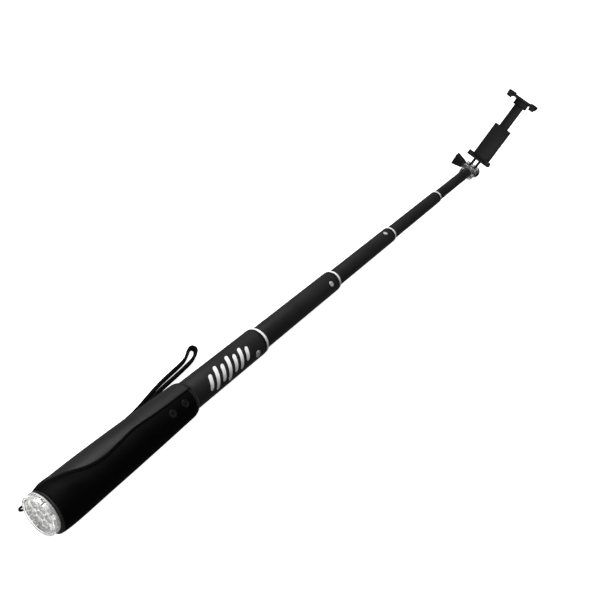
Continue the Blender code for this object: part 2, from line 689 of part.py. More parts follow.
def build_knuckle(parent, base):
    """The clear three-prong head of the last tube, drilled for the thumb screw and pocketed for its nut."""
    shift = HINGE_X - base
    collar_start = LAST_TUBE_END + GLUED_GAP
    collar_end = KNUCKLE_BASE[0] + 1.5 * MM
    plug_start = LAST_TUBE_END - 14 * MM
    plug = TUBE_INNER[4] / 2 - GLUED_GAP
    profile = [(0, collar_end), (COLLAR_RADIUS, collar_end), (COLLAR_RADIUS, collar_start + 0.6 * MM),
               (COLLAR_RADIUS - 0.6 * MM, collar_start), (plug, collar_start), (plug, plug_start),
               (0, plug_start)]
    knuckle = turned("knuckle", profile, clear_plastic, parent, (-base, 0, 0))
    join(knuckle, plate("knuckle_base", base_outline(), *KNUCKLE_BASE, None, parent, (-base, 0, 0),
                        (0, 0, -pi / 2), group=cutters))
    reach = HINGE_X - KNUCKLE_BASE[1] + 1.2 * MM
    spans = [(-MIDDLE_PRONG / 2, MIDDLE_PRONG / 2), OUTER_PRONG, (-OUTER_PRONG[1], -OUTER_PRONG[0])]
    for number, (low, high) in enumerate(spans, 1):
        prong = plate(f"knuckle_prong_{number}", prong_outline(PRONG_RADIUS, reach, PRONG_TAIL), low, high,
                      None, parent, (shift, 0, 0), group=cutters)
        join(knuckle, prong)
    boss = turned("nut_boss", disc_profile(NUT_BOSS_RADIUS, OUTER_PRONG[1] - MM, -NUT_BOSS_END), None,
                  parent, (shift, 0, 0), (pi / 2, 0, 0), group=cutters)
    join(knuckle, boss)
    pocket = hexagon("nut_pocket", NUT_ACROSS_FLATS + 0.2 * MM, (2 * NUT_BOSS_END, NUT_SPAN[1] + PAD_GAP),
                     None, parent, shift, cutters)
    hole = turned("knuckle_hole", disc_profile(BOLT_HOLE, -20 * MM, 20 * MM), None, parent, (shift, 0, 0),
                  (pi / 2, 0, 0), SMALL_FACETS, cutters)
    cut(knuckle, pocket, hole)
    cut(hexagon("clamp_nut", NUT_ACROSS_FLATS, NUT_SPAN, black_metal, parent, shift), hole)


def build_thumb_screw(axis):
    """A fan-shaped knob moulded over a bolt's head."""
    inner, outer = KNOB_SPAN
    low, high = KNOB_HALF_HEIGHTS
    bm = box_bmesh((-KNOB_THICKNESS / 2, inner + 1.5 * MM, -1), (KNOB_THICKNESS / 2, outer, 1))
    for vert in bm.verts:
        half = high if vert.co.y > (inner + outer) / 2 else low
        vert.co.z = half if vert.co.z > 0 else -half
    knob = mesh_object("thumb_knob", bm, black_plastic, axis)
    bevel(knob, 0.9 * MM)
    boss = turned("knob_boss", disc_profile(4.3 * MM, -inner - 3 * MM, -inner), None, axis,
                  rotation=(pi / 2, 0, 0), facets=SMALL_FACETS, group=cutters)
    socket = turned("knob_socket", disc_profile(BOLT_RADIUS + GLUED_GAP, -inner - 9 * MM, -inner + 2 * MM),
                    None, axis, rotation=(pi / 2, 0, 0), facets=SMALL_FACETS, group=cutters)
    cut(join(knob, boss), socket)
    turned("clamp_bolt", disc_profile(BOLT_RADIUS, -inner - 8.8 * MM, -BOLT_END), black_metal, axis,
           rotation=(pi / 2, 0, 0), facets=SMALL_FACETS)


def fork_outline():
    """A prong of the clamp's fork, from its round end at the hinge up to the jaw."""
    points = [(FORK_RADIUS * cos(radians(a)), FORK_RADIUS * sin(radians(a))) for a in range(180, 361, 15)]
    top = PHONE_LOW - PAD_HEIGHT - JAW_BAR + 0.8 * MM
    face = JAW_FRONT + 0.8 * MM
    return [*points, (FORK_RADIUS, top - 3 * MM), (8.0 * MM, top), (face, top), (face, top - 2.5 * MM),
            (-FORK_RADIUS, 1.5 * MM)]


def jaw_bar(name, width, low, high, lip_low, lip_high, material, parent):
    """A jaw's cross bar with an upturned lip at each end that keeps the phone in."""
    bar = box(name, (JAW_FRONT, -width / 2, low), (PHONE_BACK + WALL - JOINT_STEP, width / 2, high), material,
              parent)
    for side in (-1, 1):
        inner, outer = sorted((side * (width / 2 - JOINT_STEP), side * (width / 2 - LIP_LENGTH)))
        lip = box(f"{name}_lip_{side + 2}", (JAW_FRONT - JOINT_STEP, inner, lip_low),
                  (JAW_FRONT + 1.5 * MM, outer, lip_high), None, parent, group=cutters)
        join(bar, lip)
    return bar


def build_pads(prefix, span, low, high, parent):
    for side, word in ((-1, "right"), (1, "left")):
        first, last = sorted(side * edge for edge in span)
        pad = box(f"{prefix}_pad_{word}", (JAW_FRONT + 1.8 * MM, first, low),
                  (PHONE_BACK - 0.4 * MM, last, high), pad_rubber, parent)
        bevel(pad, 0.3 * MM)


def build_lower_jaw(clamp):
    bar_high = PHONE_LOW - PAD_HEIGHT - PAD_GAP
    bar_low = bar_high - JAW_BAR
    jaw = jaw_bar("lower_jaw", LOWER_JAW_WIDTH, bar_low, bar_high, bar_low + JOINT_STEP,
                  PHONE_LOW + 2.0 * MM, black_plastic, clamp)
    front = box("rail_front", (PHONE_BACK, -RAIL_HALF_WIDTH, bar_low + JOINT_STEP),
                (PHONE_BACK + WALL, RAIL_HALF_WIDTH, RAIL_TOP), None, clamp, group=cutters)
    join(jaw, front)
    for number, (low, high) in enumerate((FORK_PRONG, (-FORK_PRONG[1], -FORK_PRONG[0])), 1):
        join(jaw, plate(f"fork_prong_{number}", fork_outline(), low, high, None, clamp, group=cutters))
    hole = turned("fork_hole", disc_profile(BOLT_HOLE, -20 * MM, 20 * MM), None, clamp,
                  rotation=(pi / 2, 0, 0), facets=SMALL_FACETS, group=cutters)
    cut(jaw, hole)
    build_pads("lower", (RAIL_HALF_WIDTH + 2 * PAD_GAP, LOWER_JAW_WIDTH / 2 - JOINT_STEP),
               PHONE_LOW - PAD_HEIGHT, PHONE_LOW, clamp)
    return bar_low


def build_rail(clamp, bar_low):
    """The back cover of the rail that the upper jaw's stem slides in, with its springs and screws."""
    front = PHONE_BACK + WALL + 0.1 * MM
    back = PHONE_BACK + WALL + RAIL_DEPTH
    cover = box("rail_cover", (front, -RAIL_HALF_WIDTH, bar_low), (back, RAIL_HALF_WIDTH, RAIL_TOP),
                black_plastic, clamp)
    bevel(cover, 0.8 * MM)
    inside = RAIL_HALF_WIDTH - WALL
    channel = box("rail_channel", (front - MM, -inside, bar_low + 5 * MM), (back - WALL, inside,
                                                                           RAIL_TOP - 1.8 * MM),
                  None, clamp, group=cutters)
    mouth = box("rail_mouth", (front - MM, -STEM_HALF_WIDTH - 0.3 * MM, bar_low + 5 * MM),
                (back - WALL, STEM_HALF_WIDTH + 0.3 * MM, RAIL_TOP + 5 * MM), None, clamp, group=cutters)
    cut(cover, channel, mouth)
    for number, side in enumerate((-1, 1), 1):
        spot = (back + 0.55 * MM, side * 6.0 * MM, bar_low + 2.5 * MM)
        drill = turned(f"screw_{number}_hole", disc_profile(SCREW_DIAMETER / 2 + 0.1 * MM, -3.2 * MM, 2 * MM),
                       None, clamp, spot, facets=16, group=cutters)
        cut(cover, drill)
        profile = [(0, 0), (SCREW_DIAMETER * 0.85, 0), (SCREW_DIAMETER * 0.85, -0.5 * MM),
                   (SCREW_DIAMETER / 2, -0.5 * MM), (SCREW_DIAMETER / 2, -3.0 * MM), (0, -3.0 * MM)]
        turned(f"cover_screw_{number}", profile, black_metal, clamp, spot, facets=16)
    middle = (front + back - WALL) / 2
    foot = STEM_LOW + 3.0 * MM
    length = RAIL_TOP - 1.8 * MM - foot - 0.8 * MM
    for number, side in enumerate((-1, 1), 1):
        helix = []
        steps = SPRING_TURNS * 8
        for i in range(steps + 1):
            angle = 2 * pi * i / 8
            helix.append((middle + (SPRING_DIAMETER - SPRING_WIRE) / 2 * cos(angle),
                          side * 7.9 * MM + (SPRING_DIAMETER - SPRING_WIRE) / 2 * sin(angle),
                          foot + 0.4 * MM + length * i / steps))
        curve_object(f"clamp_spring_{number}", helix, SPRING_WIRE / 2, spring_steel, clamp, resolution=1)


def build_upper_jaw(slide):
    """The sliding jaw and its stem in one moulding, with two rubber pads."""
    low = PHONE_LOW + JAW_OPENING
    bar_low = low + UPPER_PAD_HEIGHT + PAD_GAP
    bar_high = bar_low + UPPER_JAW_BAR
    jaw = jaw_bar("upper_jaw", UPPER_JAW_WIDTH, bar_low, bar_high, low - 2.0 * MM, bar_high - JOINT_STEP,
                  black_plastic, slide)
    for side in (-1, 1):
        inner, outer = sorted((side * (UPPER_JAW_WIDTH / 2 + JOINT_STEP),
                               side * (UPPER_JAW_WIDTH / 2 - LIP_LENGTH - 1.4 * MM)))
        bump = box(f"upper_bump_{side + 2}", (JAW_FRONT + JOINT_STEP, inner, bar_low + JOINT_STEP),
                   (PHONE_BACK + WALL - 2 * JOINT_STEP, outer, bar_high + BUMP_HEIGHT), None, slide,
                   group=cutters)
        bevel(bump, 1.2 * MM)
        join(jaw, bump)
    front = PHONE_BACK + WALL + 0.5 * MM
    back = PHONE_BACK + WALL + RAIL_DEPTH - WALL - 0.3 * MM
    stem = box("jaw_stem", (front, -STEM_HALF_WIDTH, STEM_LOW), (back, STEM_HALF_WIDTH, bar_low), None, slide,
               group=cutters)
    root = box("stem_root", (PHONE_BACK + JOINT_STEP, -STEM_ROOT_HALF_WIDTH, low - 6 * MM),
               (back + JOINT_STEP, STEM_ROOT_HALF_WIDTH, bar_high - JOINT_STEP), None, slide, group=cutters)
    inside = RAIL_HALF_WIDTH - WALL - 0.3 * MM
    shoe = box("stem_shoe", (front + 0.2 * MM, -inside, STEM_LOW + JOINT_STEP),
               (back - 0.2 * MM, inside, STEM_LOW + 3 * MM), None, slide, group=cutters)
    join(jaw, stem, root, shoe)
    half = UPPER_JAW_WIDTH / 2
    build_pads("upper", (half - LIP_LENGTH + JOINT_STEP, half - JOINT_STEP), low, low + UPPER_PAD_HEIGHT,
               slide)


# ---- the whole stick ----
clear_scene()
parts = new_collection("selfie_stick")
cutters = new_collection("cutters")
cutters.hide_render = True

black_aluminium = new_material("black_aluminium", (0.035, 0.035, 0.038), 0.35, 0.6)
black_plastic = new_material("black_plastic", (0.02, 0.02, 0.021), 0.45)
black_metal = new_material("black_metal", (0.03, 0.03, 0.03), 0.4, 0.9)
white_plastic = new_material("white_plastic", (0.85, 0.86, 0.87), 0.35)
grey_plastic = new_material("grey_plastic", (0.25, 0.25, 0.26), 0.5)
grip_rubber = new_material("grip_rubber", (0.03, 0.03, 0.032), 0.75)
panel_rubber = new_material("panel_rubber", (0.012, 0.012, 0.013), 0.6)
key_rubber = new_material("key_rubber", (0.02, 0.02, 0.02), 0.6)
pad_rubber = new_material("pad_rubber", (0.22, 0.22, 0.23), 0.7)
clear_plastic = new_material("clear_plastic", (0.75, 0.76, 0.75), 0.12)
chrome = new_material("chrome", (0.85, 0.85, 0.85), 0.08, 1.0)
rivet_metal = new_material("rivet_metal", (0.5, 0.5, 0.51), 0.35, 0.8)
spring_steel = new_material("spring_steel", (0.55, 0.55, 0.56), 0.3, 1.0)
brass = new_material("brass", (0.7, 0.55, 0.25), 0.35, 1.0)
battery_wrap = new_material("battery_wrap", (0.1, 0.25, 0.45), 0.4)
board_green = new_material("board_green", (0.03, 0.2, 0.08), 0.5)
board_white = new_material("board_white", (0.8, 0.8, 0.75), 0.5)
cable_orange = new_material("cable_orange", (0.6, 0.28, 0.06), 0.4)
strap_nylon = new_material("strap_nylon", (0.015, 0.015, 0.016), 0.85)

stick = empty("stick_axis", None, (-ORIGIN_X, -ORIGIN_Y, AXIS_HEIGHT))
build_tube(0, stick, 0)
grip = build_grip(stick)
build_controls(stick, grip, bpy.data.objects["grip_panel"])
build_battery(stick)
build_torch(stick)
build_strap(stick)
carrier, carrier_x = stick, 0
for section in range(1, 5):
    mouth = MOUTHS[section - 1]
    carrier = empty(f"section_{section + 1}_slide", carrier, (mouth - carrier_x, 0, 0))
    carrier_x = mouth
    build_tube(section, carrier, carrier_x)
build_knuckle(carrier, carrier_x)
hinge = (HINGE_X - carrier_x, 0, 0)
build_thumb_screw(empty("thumb_screw_axis", carrier, hinge))
clamp_hinge = empty("clamp_hinge", carrier, hinge, (0, radians(CLAMP_TILT), 0))
bar_underside = build_lower_jaw(clamp_hinge)
build_rail(clamp_hinge, bar_underside)
build_upper_jaw(empty("upper_jaw_slide", clamp_hinge))
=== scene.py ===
"""Looks for the selfie stick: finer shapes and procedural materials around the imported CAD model."""
import json
from math import cos, exp, pi, radians, sin, sqrt

import bmesh
import bpy
from mathutils import Matrix, Vector


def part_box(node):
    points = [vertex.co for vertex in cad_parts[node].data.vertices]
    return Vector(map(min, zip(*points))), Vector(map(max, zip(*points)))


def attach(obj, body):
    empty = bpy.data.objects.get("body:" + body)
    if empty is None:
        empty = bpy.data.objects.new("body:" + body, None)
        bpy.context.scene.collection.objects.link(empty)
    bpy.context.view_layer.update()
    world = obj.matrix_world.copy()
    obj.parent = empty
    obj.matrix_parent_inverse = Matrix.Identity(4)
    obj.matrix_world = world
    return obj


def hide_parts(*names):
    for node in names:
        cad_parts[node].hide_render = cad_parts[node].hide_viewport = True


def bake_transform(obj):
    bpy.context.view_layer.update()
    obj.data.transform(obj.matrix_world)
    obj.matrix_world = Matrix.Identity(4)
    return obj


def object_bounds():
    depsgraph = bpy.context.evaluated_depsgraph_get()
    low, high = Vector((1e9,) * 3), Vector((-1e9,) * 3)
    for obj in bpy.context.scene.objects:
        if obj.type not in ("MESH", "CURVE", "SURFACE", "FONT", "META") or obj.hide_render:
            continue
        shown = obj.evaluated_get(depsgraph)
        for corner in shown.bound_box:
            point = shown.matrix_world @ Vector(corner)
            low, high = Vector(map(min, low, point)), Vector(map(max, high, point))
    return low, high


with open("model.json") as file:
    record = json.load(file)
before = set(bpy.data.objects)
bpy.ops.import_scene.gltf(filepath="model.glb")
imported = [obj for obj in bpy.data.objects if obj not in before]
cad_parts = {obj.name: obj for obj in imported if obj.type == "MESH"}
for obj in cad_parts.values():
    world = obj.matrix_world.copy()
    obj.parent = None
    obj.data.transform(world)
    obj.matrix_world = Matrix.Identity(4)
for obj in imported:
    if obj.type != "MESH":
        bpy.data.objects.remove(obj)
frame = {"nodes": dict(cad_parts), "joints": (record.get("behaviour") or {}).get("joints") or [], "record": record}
cad_box = [[float(v) for v in corner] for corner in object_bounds()]

MM = 0.001
NODES = frame["nodes"]
JOINTS = {joint["name"]: joint for joint in frame["joints"]}


# ---- where things are, from the frame ----
def middle(node):
    low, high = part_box(node)
    return (low + high) / 2


def radius_of(node):
    low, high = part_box(node)
    return (high.y - low.y) / 2


AXIS_Y = middle("main_tube").y
AXIS_Z = middle("main_tube").z
GRIP_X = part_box("grip_sleeve")[0].x
HINGE = Vector(JOINTS["clamp_tilt"]["pos_m"])
CLAMP_UP = Vector(JOINTS["upper_jaw_slide"]["axis"]).normalized()
CLAMP_BACK = Vector((CLAMP_UP.z, 0, -CLAMP_UP.x))
FLOOR_Z = cad_box[0][2]


def on_stick(x, y=0.0, z=0.0):
    """A point given from the grip's lower end, on the tubes' axis."""
    return Vector((GRIP_X + x, AXIS_Y + y, AXIS_Z + z))


def on_clamp(a, y, h):
    """A point given from the clamp's hinge: a to the phone's back, h up along the phone."""
    return HINGE + CLAMP_BACK * a + Vector((0, y, 0)) + CLAMP_UP * h


def around(radius, angle):
    """The (y, z) offset at an angle in degrees from the top towards -Y."""
    return -radius * sin(radians(angle)), radius * cos(radians(angle))


# ---- materials ----
def grey(level, blue=None):
    """A grey, with its blue a little apart from the rest if given."""
    return level, level, blue or level


class Shader:
    """A Principled material with short calls for its node tree."""

    def __init__(self, name, color, roughness, metallic=0.0, **sockets):
        self.material = bpy.data.materials.new(name)
        self.material.use_nodes = True
        self.tree = self.material.node_tree
        self.principled = self.tree.nodes["Principled BSDF"]
        self.set("Base Color", (*color, 1.0))
        self.set("Roughness", roughness)
        self.set("Metallic", metallic)
        for key, value in sockets.items():
            self.set(key.replace("_", " "), value)

    def set(self, socket, value):
        self.principled.inputs[socket].default_value = value

    def node(self, kind, **inputs):
        made = self.tree.nodes.new(kind)
        for key, value in inputs.items():
            if key in made.bl_rna.properties:
                setattr(made, key, value)
            else:
                made.inputs[key].default_value = value
        return made

    def link(self, source, target, output=0):
        self.tree.links.new(source.outputs[output], target)

    def coordinates(self, scale=(1, 1, 1), rotation=(0, 0, 0)):
        place = self.node("ShaderNodeTexCoord")
        mapping = self.node("ShaderNodeMapping")
        mapping.inputs["Scale"].default_value = scale
        mapping.inputs["Rotation"].default_value = rotation
        self.link(place, mapping.inputs["Vector"], "Object")
        return mapping

    def noise(self, scale, detail=3.0, stretch=(1, 1, 1), roughness=0.5):
        texture = self.node("ShaderNodeTexNoise")
        texture.inputs["Scale"].default_value = scale
        texture.inputs["Detail"].default_value = detail
        texture.inputs["Roughness"].default_value = roughness
        self.link(self.coordinates(stretch), texture.inputs["Vector"])
        return texture

    def ramp(self, source, low, high, start=0.35, end=0.65, output=0):
        """Maps a texture to a range of numbers."""
        span = self.node("ShaderNodeMapRange")
        span.inputs["From Min"].default_value = start
        span.inputs["From Max"].default_value = end
        span.inputs["To Min"].default_value = low
        span.inputs["To Max"].default_value = high
        self.link(source, span.inputs["Value"], output)
        return span

    def colors(self, source, low, high, output=0):
        """Mixes two colours by a texture."""
        mix = self.node("ShaderNodeMix", data_type="RGBA")
        mix.inputs[6].default_value = (*low, 1)
        mix.inputs[7].default_value = (*high, 1)
        self.link(source, mix.inputs[0], output)
        return mix

    def color_from(self, mix):
        self.link(mix, self.principled.inputs["Base Color"], 2)

    def roughness_from(self, source):
        self.link(source, self.principled.inputs["Roughness"])

    def bump(self, source, distance, strength=1.0, output=0):
        """Adds a bump on top of any that the material already has."""
        normal = self.principled.inputs["Normal"]
        bump = self.node("ShaderNodeBump")
        bump.inputs["Strength"].default_value = strength
        bump.inputs["Distance"].default_value = distance
        if normal.is_linked:
            self.tree.links.new(normal.links[0].from_socket, bump.inputs["Normal"])
        self.link(source, bump.inputs["Height"], output)
        self.link(bump, normal)
        return bump


def anodised_black():
    """Fine drawn lines along the tube, and a faint cloudiness in the dye."""
    shader = Shader("anodised_black", grey(0.012, 0.013), 0.46, 0.0, Specular_IOR_Level=0.32)
    grain = shader.noise(1600.0, 3.0, (0.1, 1, 1))
    cloud = shader.noise(35.0, 2.0)
    shader.color_from(shader.colors(shader.ramp(cloud, 0, 1), grey(0.009, 0.010), grey(0.015, 0.0165)))
    shader.roughness_from(shader.ramp(grain, 0.42, 0.52))
    shader.bump(grain, 0.000008, 0.3)
    return shader.material


def moulded_black(name, dark, light, roughness, specular, grain_scale=1400.0):
    """A fine spark-eroded grain over a slightly uneven black."""
    shader = Shader(name, dark, roughness[0], 0.0, Specular_IOR_Level=specular)
    grain = shader.noise(grain_scale, 2.0)
    cloud = shader.noise(60.0, 3.0)
    shader.color_from(shader.colors(shader.ramp(cloud, 0, 1), dark, light))
    shader.roughness_from(shader.ramp(grain, *roughness))
    shader.bump(grain, 0.000012, 0.4)
    return shader.material


def soft_touch(name, base, light, roughness, specular, sheen):
    shader = Shader(name, base, roughness[0], 0.0, Specular_IOR_Level=specular, Sheen_Weight=sheen,
                    Sheen_Roughness=0.4)
    fine = shader.noise(2600.0, 2.0)
    cloud = shader.noise(45.0, 4.0, roughness=0.6)
    shader.color_from(shader.colors(shader.ramp(cloud, 0, 1), base, light))
    shader.roughness_from(shader.ramp(cloud, *roughness))
    shader.bump(fine, 0.00002, 0.4)
    shader.bump(cloud, 0.00004, 0.12)
    return shader.material


def white_moulded():
    shader = Shader("white_moulded", (0.86, 0.87, 0.88), 0.3)
    cloud = shader.noise(120.0, 3.0)
    shader.color_from(shader.colors(shader.ramp(cloud, 0, 1), grey(0.93), grey(0.98)))
    shader.roughness_from(shader.ramp(cloud, 0.25, 0.38))
    shader.bump(cloud, 0.00002, 0.2)
    return shader.material


def grey_moulded(name, low, high, roughness=(0.5, 0.68), grain_scale=1800.0):
    shader = Shader(name, low, roughness[0])
    grain = shader.noise(grain_scale, 3.0)
    cloud = shader.noise(90.0, 3.0)
    shader.color_from(shader.colors(shader.ramp(cloud, 0, 1), low, high))
    shader.roughness_from(shader.ramp(grain, *roughness))
    shader.bump(grain, 0.00003, 0.4)
    return shader.material


def clear_moulded(name, tint, roughness, transmission):
    shader = Shader(name, tint, roughness[0], 0.0, IOR=1.49, Transmission_Weight=transmission)
    flow = shader.noise(140.0, 3.0)
    shader.color_from(shader.colors(shader.ramp(flow, 0, 1), tint, tuple(0.93 * c for c in tint)))
    shader.roughness_from(shader.ramp(flow, *roughness))
    shader.bump(flow, 0.00005, 0.15)
    return shader.material


def metal(name, color, roughness, stretch=(1, 1, 1), scale=700.0, bump=0.3):
    shader = Shader(name, color, roughness[0], 1.0)
    grain = shader.noise(scale, 4.0, stretch)
    shader.color_from(shader.colors(shader.ramp(grain, 0, 1), color, tuple(0.85 * c for c in color)))
    shader.roughness_from(shader.ramp(grain, *roughness))
    shader.bump(grain, 0.00002, bump)
    return shader.material


def rivet_steel():
    """Turned marks round each rivet's face come from a fine stretched grain."""
    shader = Shader("rivet_steel", grey(0.62, 0.63), 0.5, 0.35)
    grain = shader.noise(1500.0, 5.0, (0.15, 1, 1))
    shader.color_from(shader.colors(shader.ramp(grain, 0, 1), grey(0.55, 0.56), grey(0.7, 0.71)))
    shader.roughness_from(shader.ramp(grain, 0.42, 0.56))
    shader.bump(grain, 0.00002, 0.4)
    return shader.material


def woven_nylon():
    """A fine basket weave along and across the band."""
    shader = Shader("woven_nylon", grey(0.004), 0.8, 0.0, Sheen_Weight=0.01, Sheen_Roughness=0.5,
                    Specular_IOR_Level=0.08)
    along = shader.node("ShaderNodeTexWave", bands_direction="X")
    across = shader.node("ShaderNodeTexWave", bands_direction="Z")
    for wave, scale in ((along, 620.0), (across, 780.0)):
        wave.inputs["Scale"].default_value = scale
        wave.inputs["Distortion"].default_value = 1.2
        wave.inputs["Detail"].default_value = 1.0
        shader.link(shader.coordinates(), wave.inputs["Vector"])
    weave = shader.node("ShaderNodeMath", operation="MULTIPLY")
    shader.link(along, weave.inputs[0], "Fac")
    shader.link(across, weave.inputs[1], "Fac")
    shader.color_from(shader.colors(weave, grey(0.0008), grey(0.004, 0.0042)))
    shader.roughness_from(shader.ramp(weave, 0.9, 0.7, 0, 1))
    shader.bump(weave, 0.00025, 0.8)
    return shader.material


def circuit_green():
    shader = Shader("circuit_green", (0.02, 0.16, 0.06), 0.35)
    tracks = shader.node("ShaderNodeTexBrick")
    tracks.inputs["Scale"].default_value = 320.0
    tracks.inputs["Color1"].default_value = (0.015, 0.13, 0.05, 1)
    tracks.inputs["Color2"].default_value = (0.03, 0.22, 0.08, 1)
    tracks.inputs["Mortar"].default_value = (0.5, 0.4, 0.12, 1)
    tracks.inputs["Mortar Size"].default_value = 0.012
    shader.link(shader.coordinates(), tracks.inputs["Vector"])
    shader.link(tracks, shader.principled.inputs["Base Color"])
    shader.bump(tracks, 0.00004, 0.3, "Fac")
    return shader.material


def phosphor():
    """The yellow-white face of a lamp."""
    shader = Shader("phosphor", (0.9, 0.82, 0.5), 0.3, 0.0, Coat_Weight=0.6)
    spots = shader.noise(1800.0, 2.0)
    shader.color_from(shader.colors(shader.ramp(spots, 0, 1), (0.92, 0.88, 0.66), (0.85, 0.76, 0.42)))
    shader.bump(spots, 0.00002, 0.2)
    return shader.material


def white_floor():
    """A floor that glows almost white, so that the object throws hardly any shadow on it."""
    shader = Shader("white_floor", grey(0.9), 0.9, 0.0, Specular_IOR_Level=0.0, Emission_Strength=0.95)
    cloud = shader.noise(3.0, 2.0)
    shade = shader.colors(shader.ramp(cloud, 0, 1), grey(0.97), grey(1.0))
    shader.color_from(shade)
    shader.tree.links.new(shade.outputs[2], shader.principled.inputs["Emission Color"])
    return shader.material


TUBE_BLACK = anodised_black()
PLASTIC_BLACK = moulded_black("moulded_black", grey(0.003, 0.0032), grey(0.006, 0.0062), (0.36, 0.5), 0.25)
JAW_BLACK = moulded_black("jaw_black", grey(0.004, 0.0042), grey(0.007, 0.0072), (0.36, 0.46), 0.2, 900.0)
KNOB_BLACK = moulded_black("knob_black", grey(0.006, 0.0063), grey(0.011, 0.0115), (0.4, 0.5), 0.3, 900.0)
GRIP_SOFT = soft_touch("grip_soft_touch", grey(0.006, 0.0065), grey(0.01, 0.0105), (0.46, 0.56), 0.3, 0.05)
PANEL_SOFT = soft_touch("panel_soft_touch", grey(0.001, 0.0012), grey(0.002, 0.0022), (0.56, 0.66),
                        0.05, 0.0)
KEY_SOFT = soft_touch("key_soft_touch", grey(0.003, 0.0035), grey(0.005, 0.0055), (0.45, 0.55), 0.2, 0.0)
WHITE = white_moulded()
PRINT_WHITE = grey_moulded("print_white", grey(0.93), grey(0.98), (0.4, 0.5), 600.0)
GREY = grey_moulded("grey_moulded", grey(0.2, 0.21), grey(0.26, 0.27))
PAD_GREY = grey_moulded("pad_grey", grey(0.1, 0.105), grey(0.15, 0.155), (0.6, 0.75), 1200.0)
PRINT_GREY = grey_moulded("print_grey", grey(0.007, 0.0073), grey(0.012, 0.0125), (0.4, 0.5))
CLEAR = clear_moulded("clear_moulded", grey(0.95, 0.945), (0.03, 0.08), 0.97)
LENS = clear_moulded("lens_moulded", grey(0.97, 0.965), (0.02, 0.06), 1.0)
FROSTED = clear_moulded("frosted_moulded", grey(0.9, 0.885), (0.25, 0.35), 0.45)
SMOKE = clear_moulded("smoke_moulded", grey(0.42), (0.08, 0.18), 0.85)
CHROME = metal("metallised", grey(0.9, 0.89), (0.08, 0.2), scale=300.0, bump=0.05)
REFLECTOR = metal("metallised_plate", grey(0.66, 0.65), (0.24, 0.34), scale=260.0, bump=0.05)
RIVET = rivet_steel()
SPRING = metal("drawn_steel", grey(0.56, 0.57), (0.22, 0.36), (1, 1, 0.2))
BRASS = metal("plated_brass", (0.72, 0.56, 0.26), (0.25, 0.4))
OXIDE = metal("black_oxide", grey(0.02), (0.35, 0.5))
NYLON = woven_nylon()
CIRCUIT = circuit_green()
PHOSPHOR = phosphor()
WRAP = grey_moulded("shrink_wrap", (0.06, 0.17, 0.32), (0.08, 0.21, 0.38), (0.25, 0.35), 300.0)
FILM = grey_moulded("polyimide_film", (0.5, 0.22, 0.04), (0.58, 0.27, 0.06), (0.2, 0.3), 400.0)
BOARD_WHITE = grey_moulded("board_white", grey(0.7, 0.66), grey(0.78, 0.74), (0.4, 0.5), 600.0)


# ---- mesh helpers ----
def finish_mesh(name, bm, material, body, replaced=(), sharp=38):
    bmesh.ops.recalc_face_normals(bm, faces=bm.faces)
    mesh = bpy.data.meshes.new(name)
    bm.to_mesh(mesh)
    bm.free()
    return finish_object(name, mesh, material, body, replaced, sharp)


def finish_object(name, mesh, material, body, replaced=(), sharp=38):
    mesh.shade_smooth()
    mesh.set_sharp_from_angle(angle=radians(sharp))
    mesh.materials.clear()
    mesh.materials.append(material)
    obj = bpy.data.objects.new(name, mesh)
    bpy.context.scene.collection.objects.link(obj)
    if body:
        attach(obj, body)
    if replaced:
        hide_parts(*replaced)
    return obj


def frame_matrix(origin, along, side=None):
    """A matrix whose Z runs along a direction, for shapes drawn upright at the origin."""
    z = Vector(along).normalized()
    helper = Vector(side) if side else (Vector((0, 1, 0)) if abs(z.y) < 0.9 else Vector((0, 0, 1)))
    x = helper.cross(z).normalized()
    y = z.cross(x)
    matrix = Matrix((x, y, z)).transposed().to_4x4()
    matrix.translation = origin
    return matrix


def lathe(profile, matrix, segments=96, bm=None):
    """A turned shape from (radius, height) points; a closed outline if it stays off the axis."""
    bm = bm or bmesh.new()
    hollow = min(r for r, s in profile) > 0
    rings = []
    for r, s in profile:
        if r <= 0:
            rings.append([bm.verts.new(matrix @ Vector((0, 0, s)))])
            continue
        turns = [2 * pi * i / segments for i in range(segments)]
        rings.append([bm.verts.new(matrix @ Vector((r * cos(a), r * sin(a), s))) for a in turns])
    pairs = list(zip(rings, rings[1:]))
    if hollow:
        pairs.append((rings[-1], rings[0]))
    for one, two in pairs:
        for i in range(segments):
            j = (i + 1) % segments
            corners = [one[i % len(one)], one[j % len(one)], two[j % len(two)], two[i % len(two)]]
            unique = list(dict.fromkeys(corners))
            if len(unique) > 2:
                bm.faces.new(unique)
    return bm


def rounded(points, radii, steps=4):
    """An outline with rounded corners. Points and radii go together; a radius of 0 keeps the corner."""
    outline = []
    count = len(points)
    for i, (point, radius) in enumerate(zip(points, radii)):
        here = Vector(point)
        if radius <= 0:
            outline.append(tuple(here))
            continue
        before = (Vector(points[i - 1]) - here).normalized()
        after = (Vector(points[(i + 1) % count]) - here).normalized()
        start, end = here + before * radius, here + after * radius
        for k in range(steps + 1):
            t = k / steps
            outline.append(tuple((1 - t) ** 2 * start + 2 * t * (1 - t) * here + t * t * end))
    return outline


def turned(name, profile, origin, along, material, body, replaced=(), segments=96, sharp=38):
    bm = lathe(profile, frame_matrix(origin, along), segments)
    return finish_mesh(name, bm, material, body, replaced, sharp)


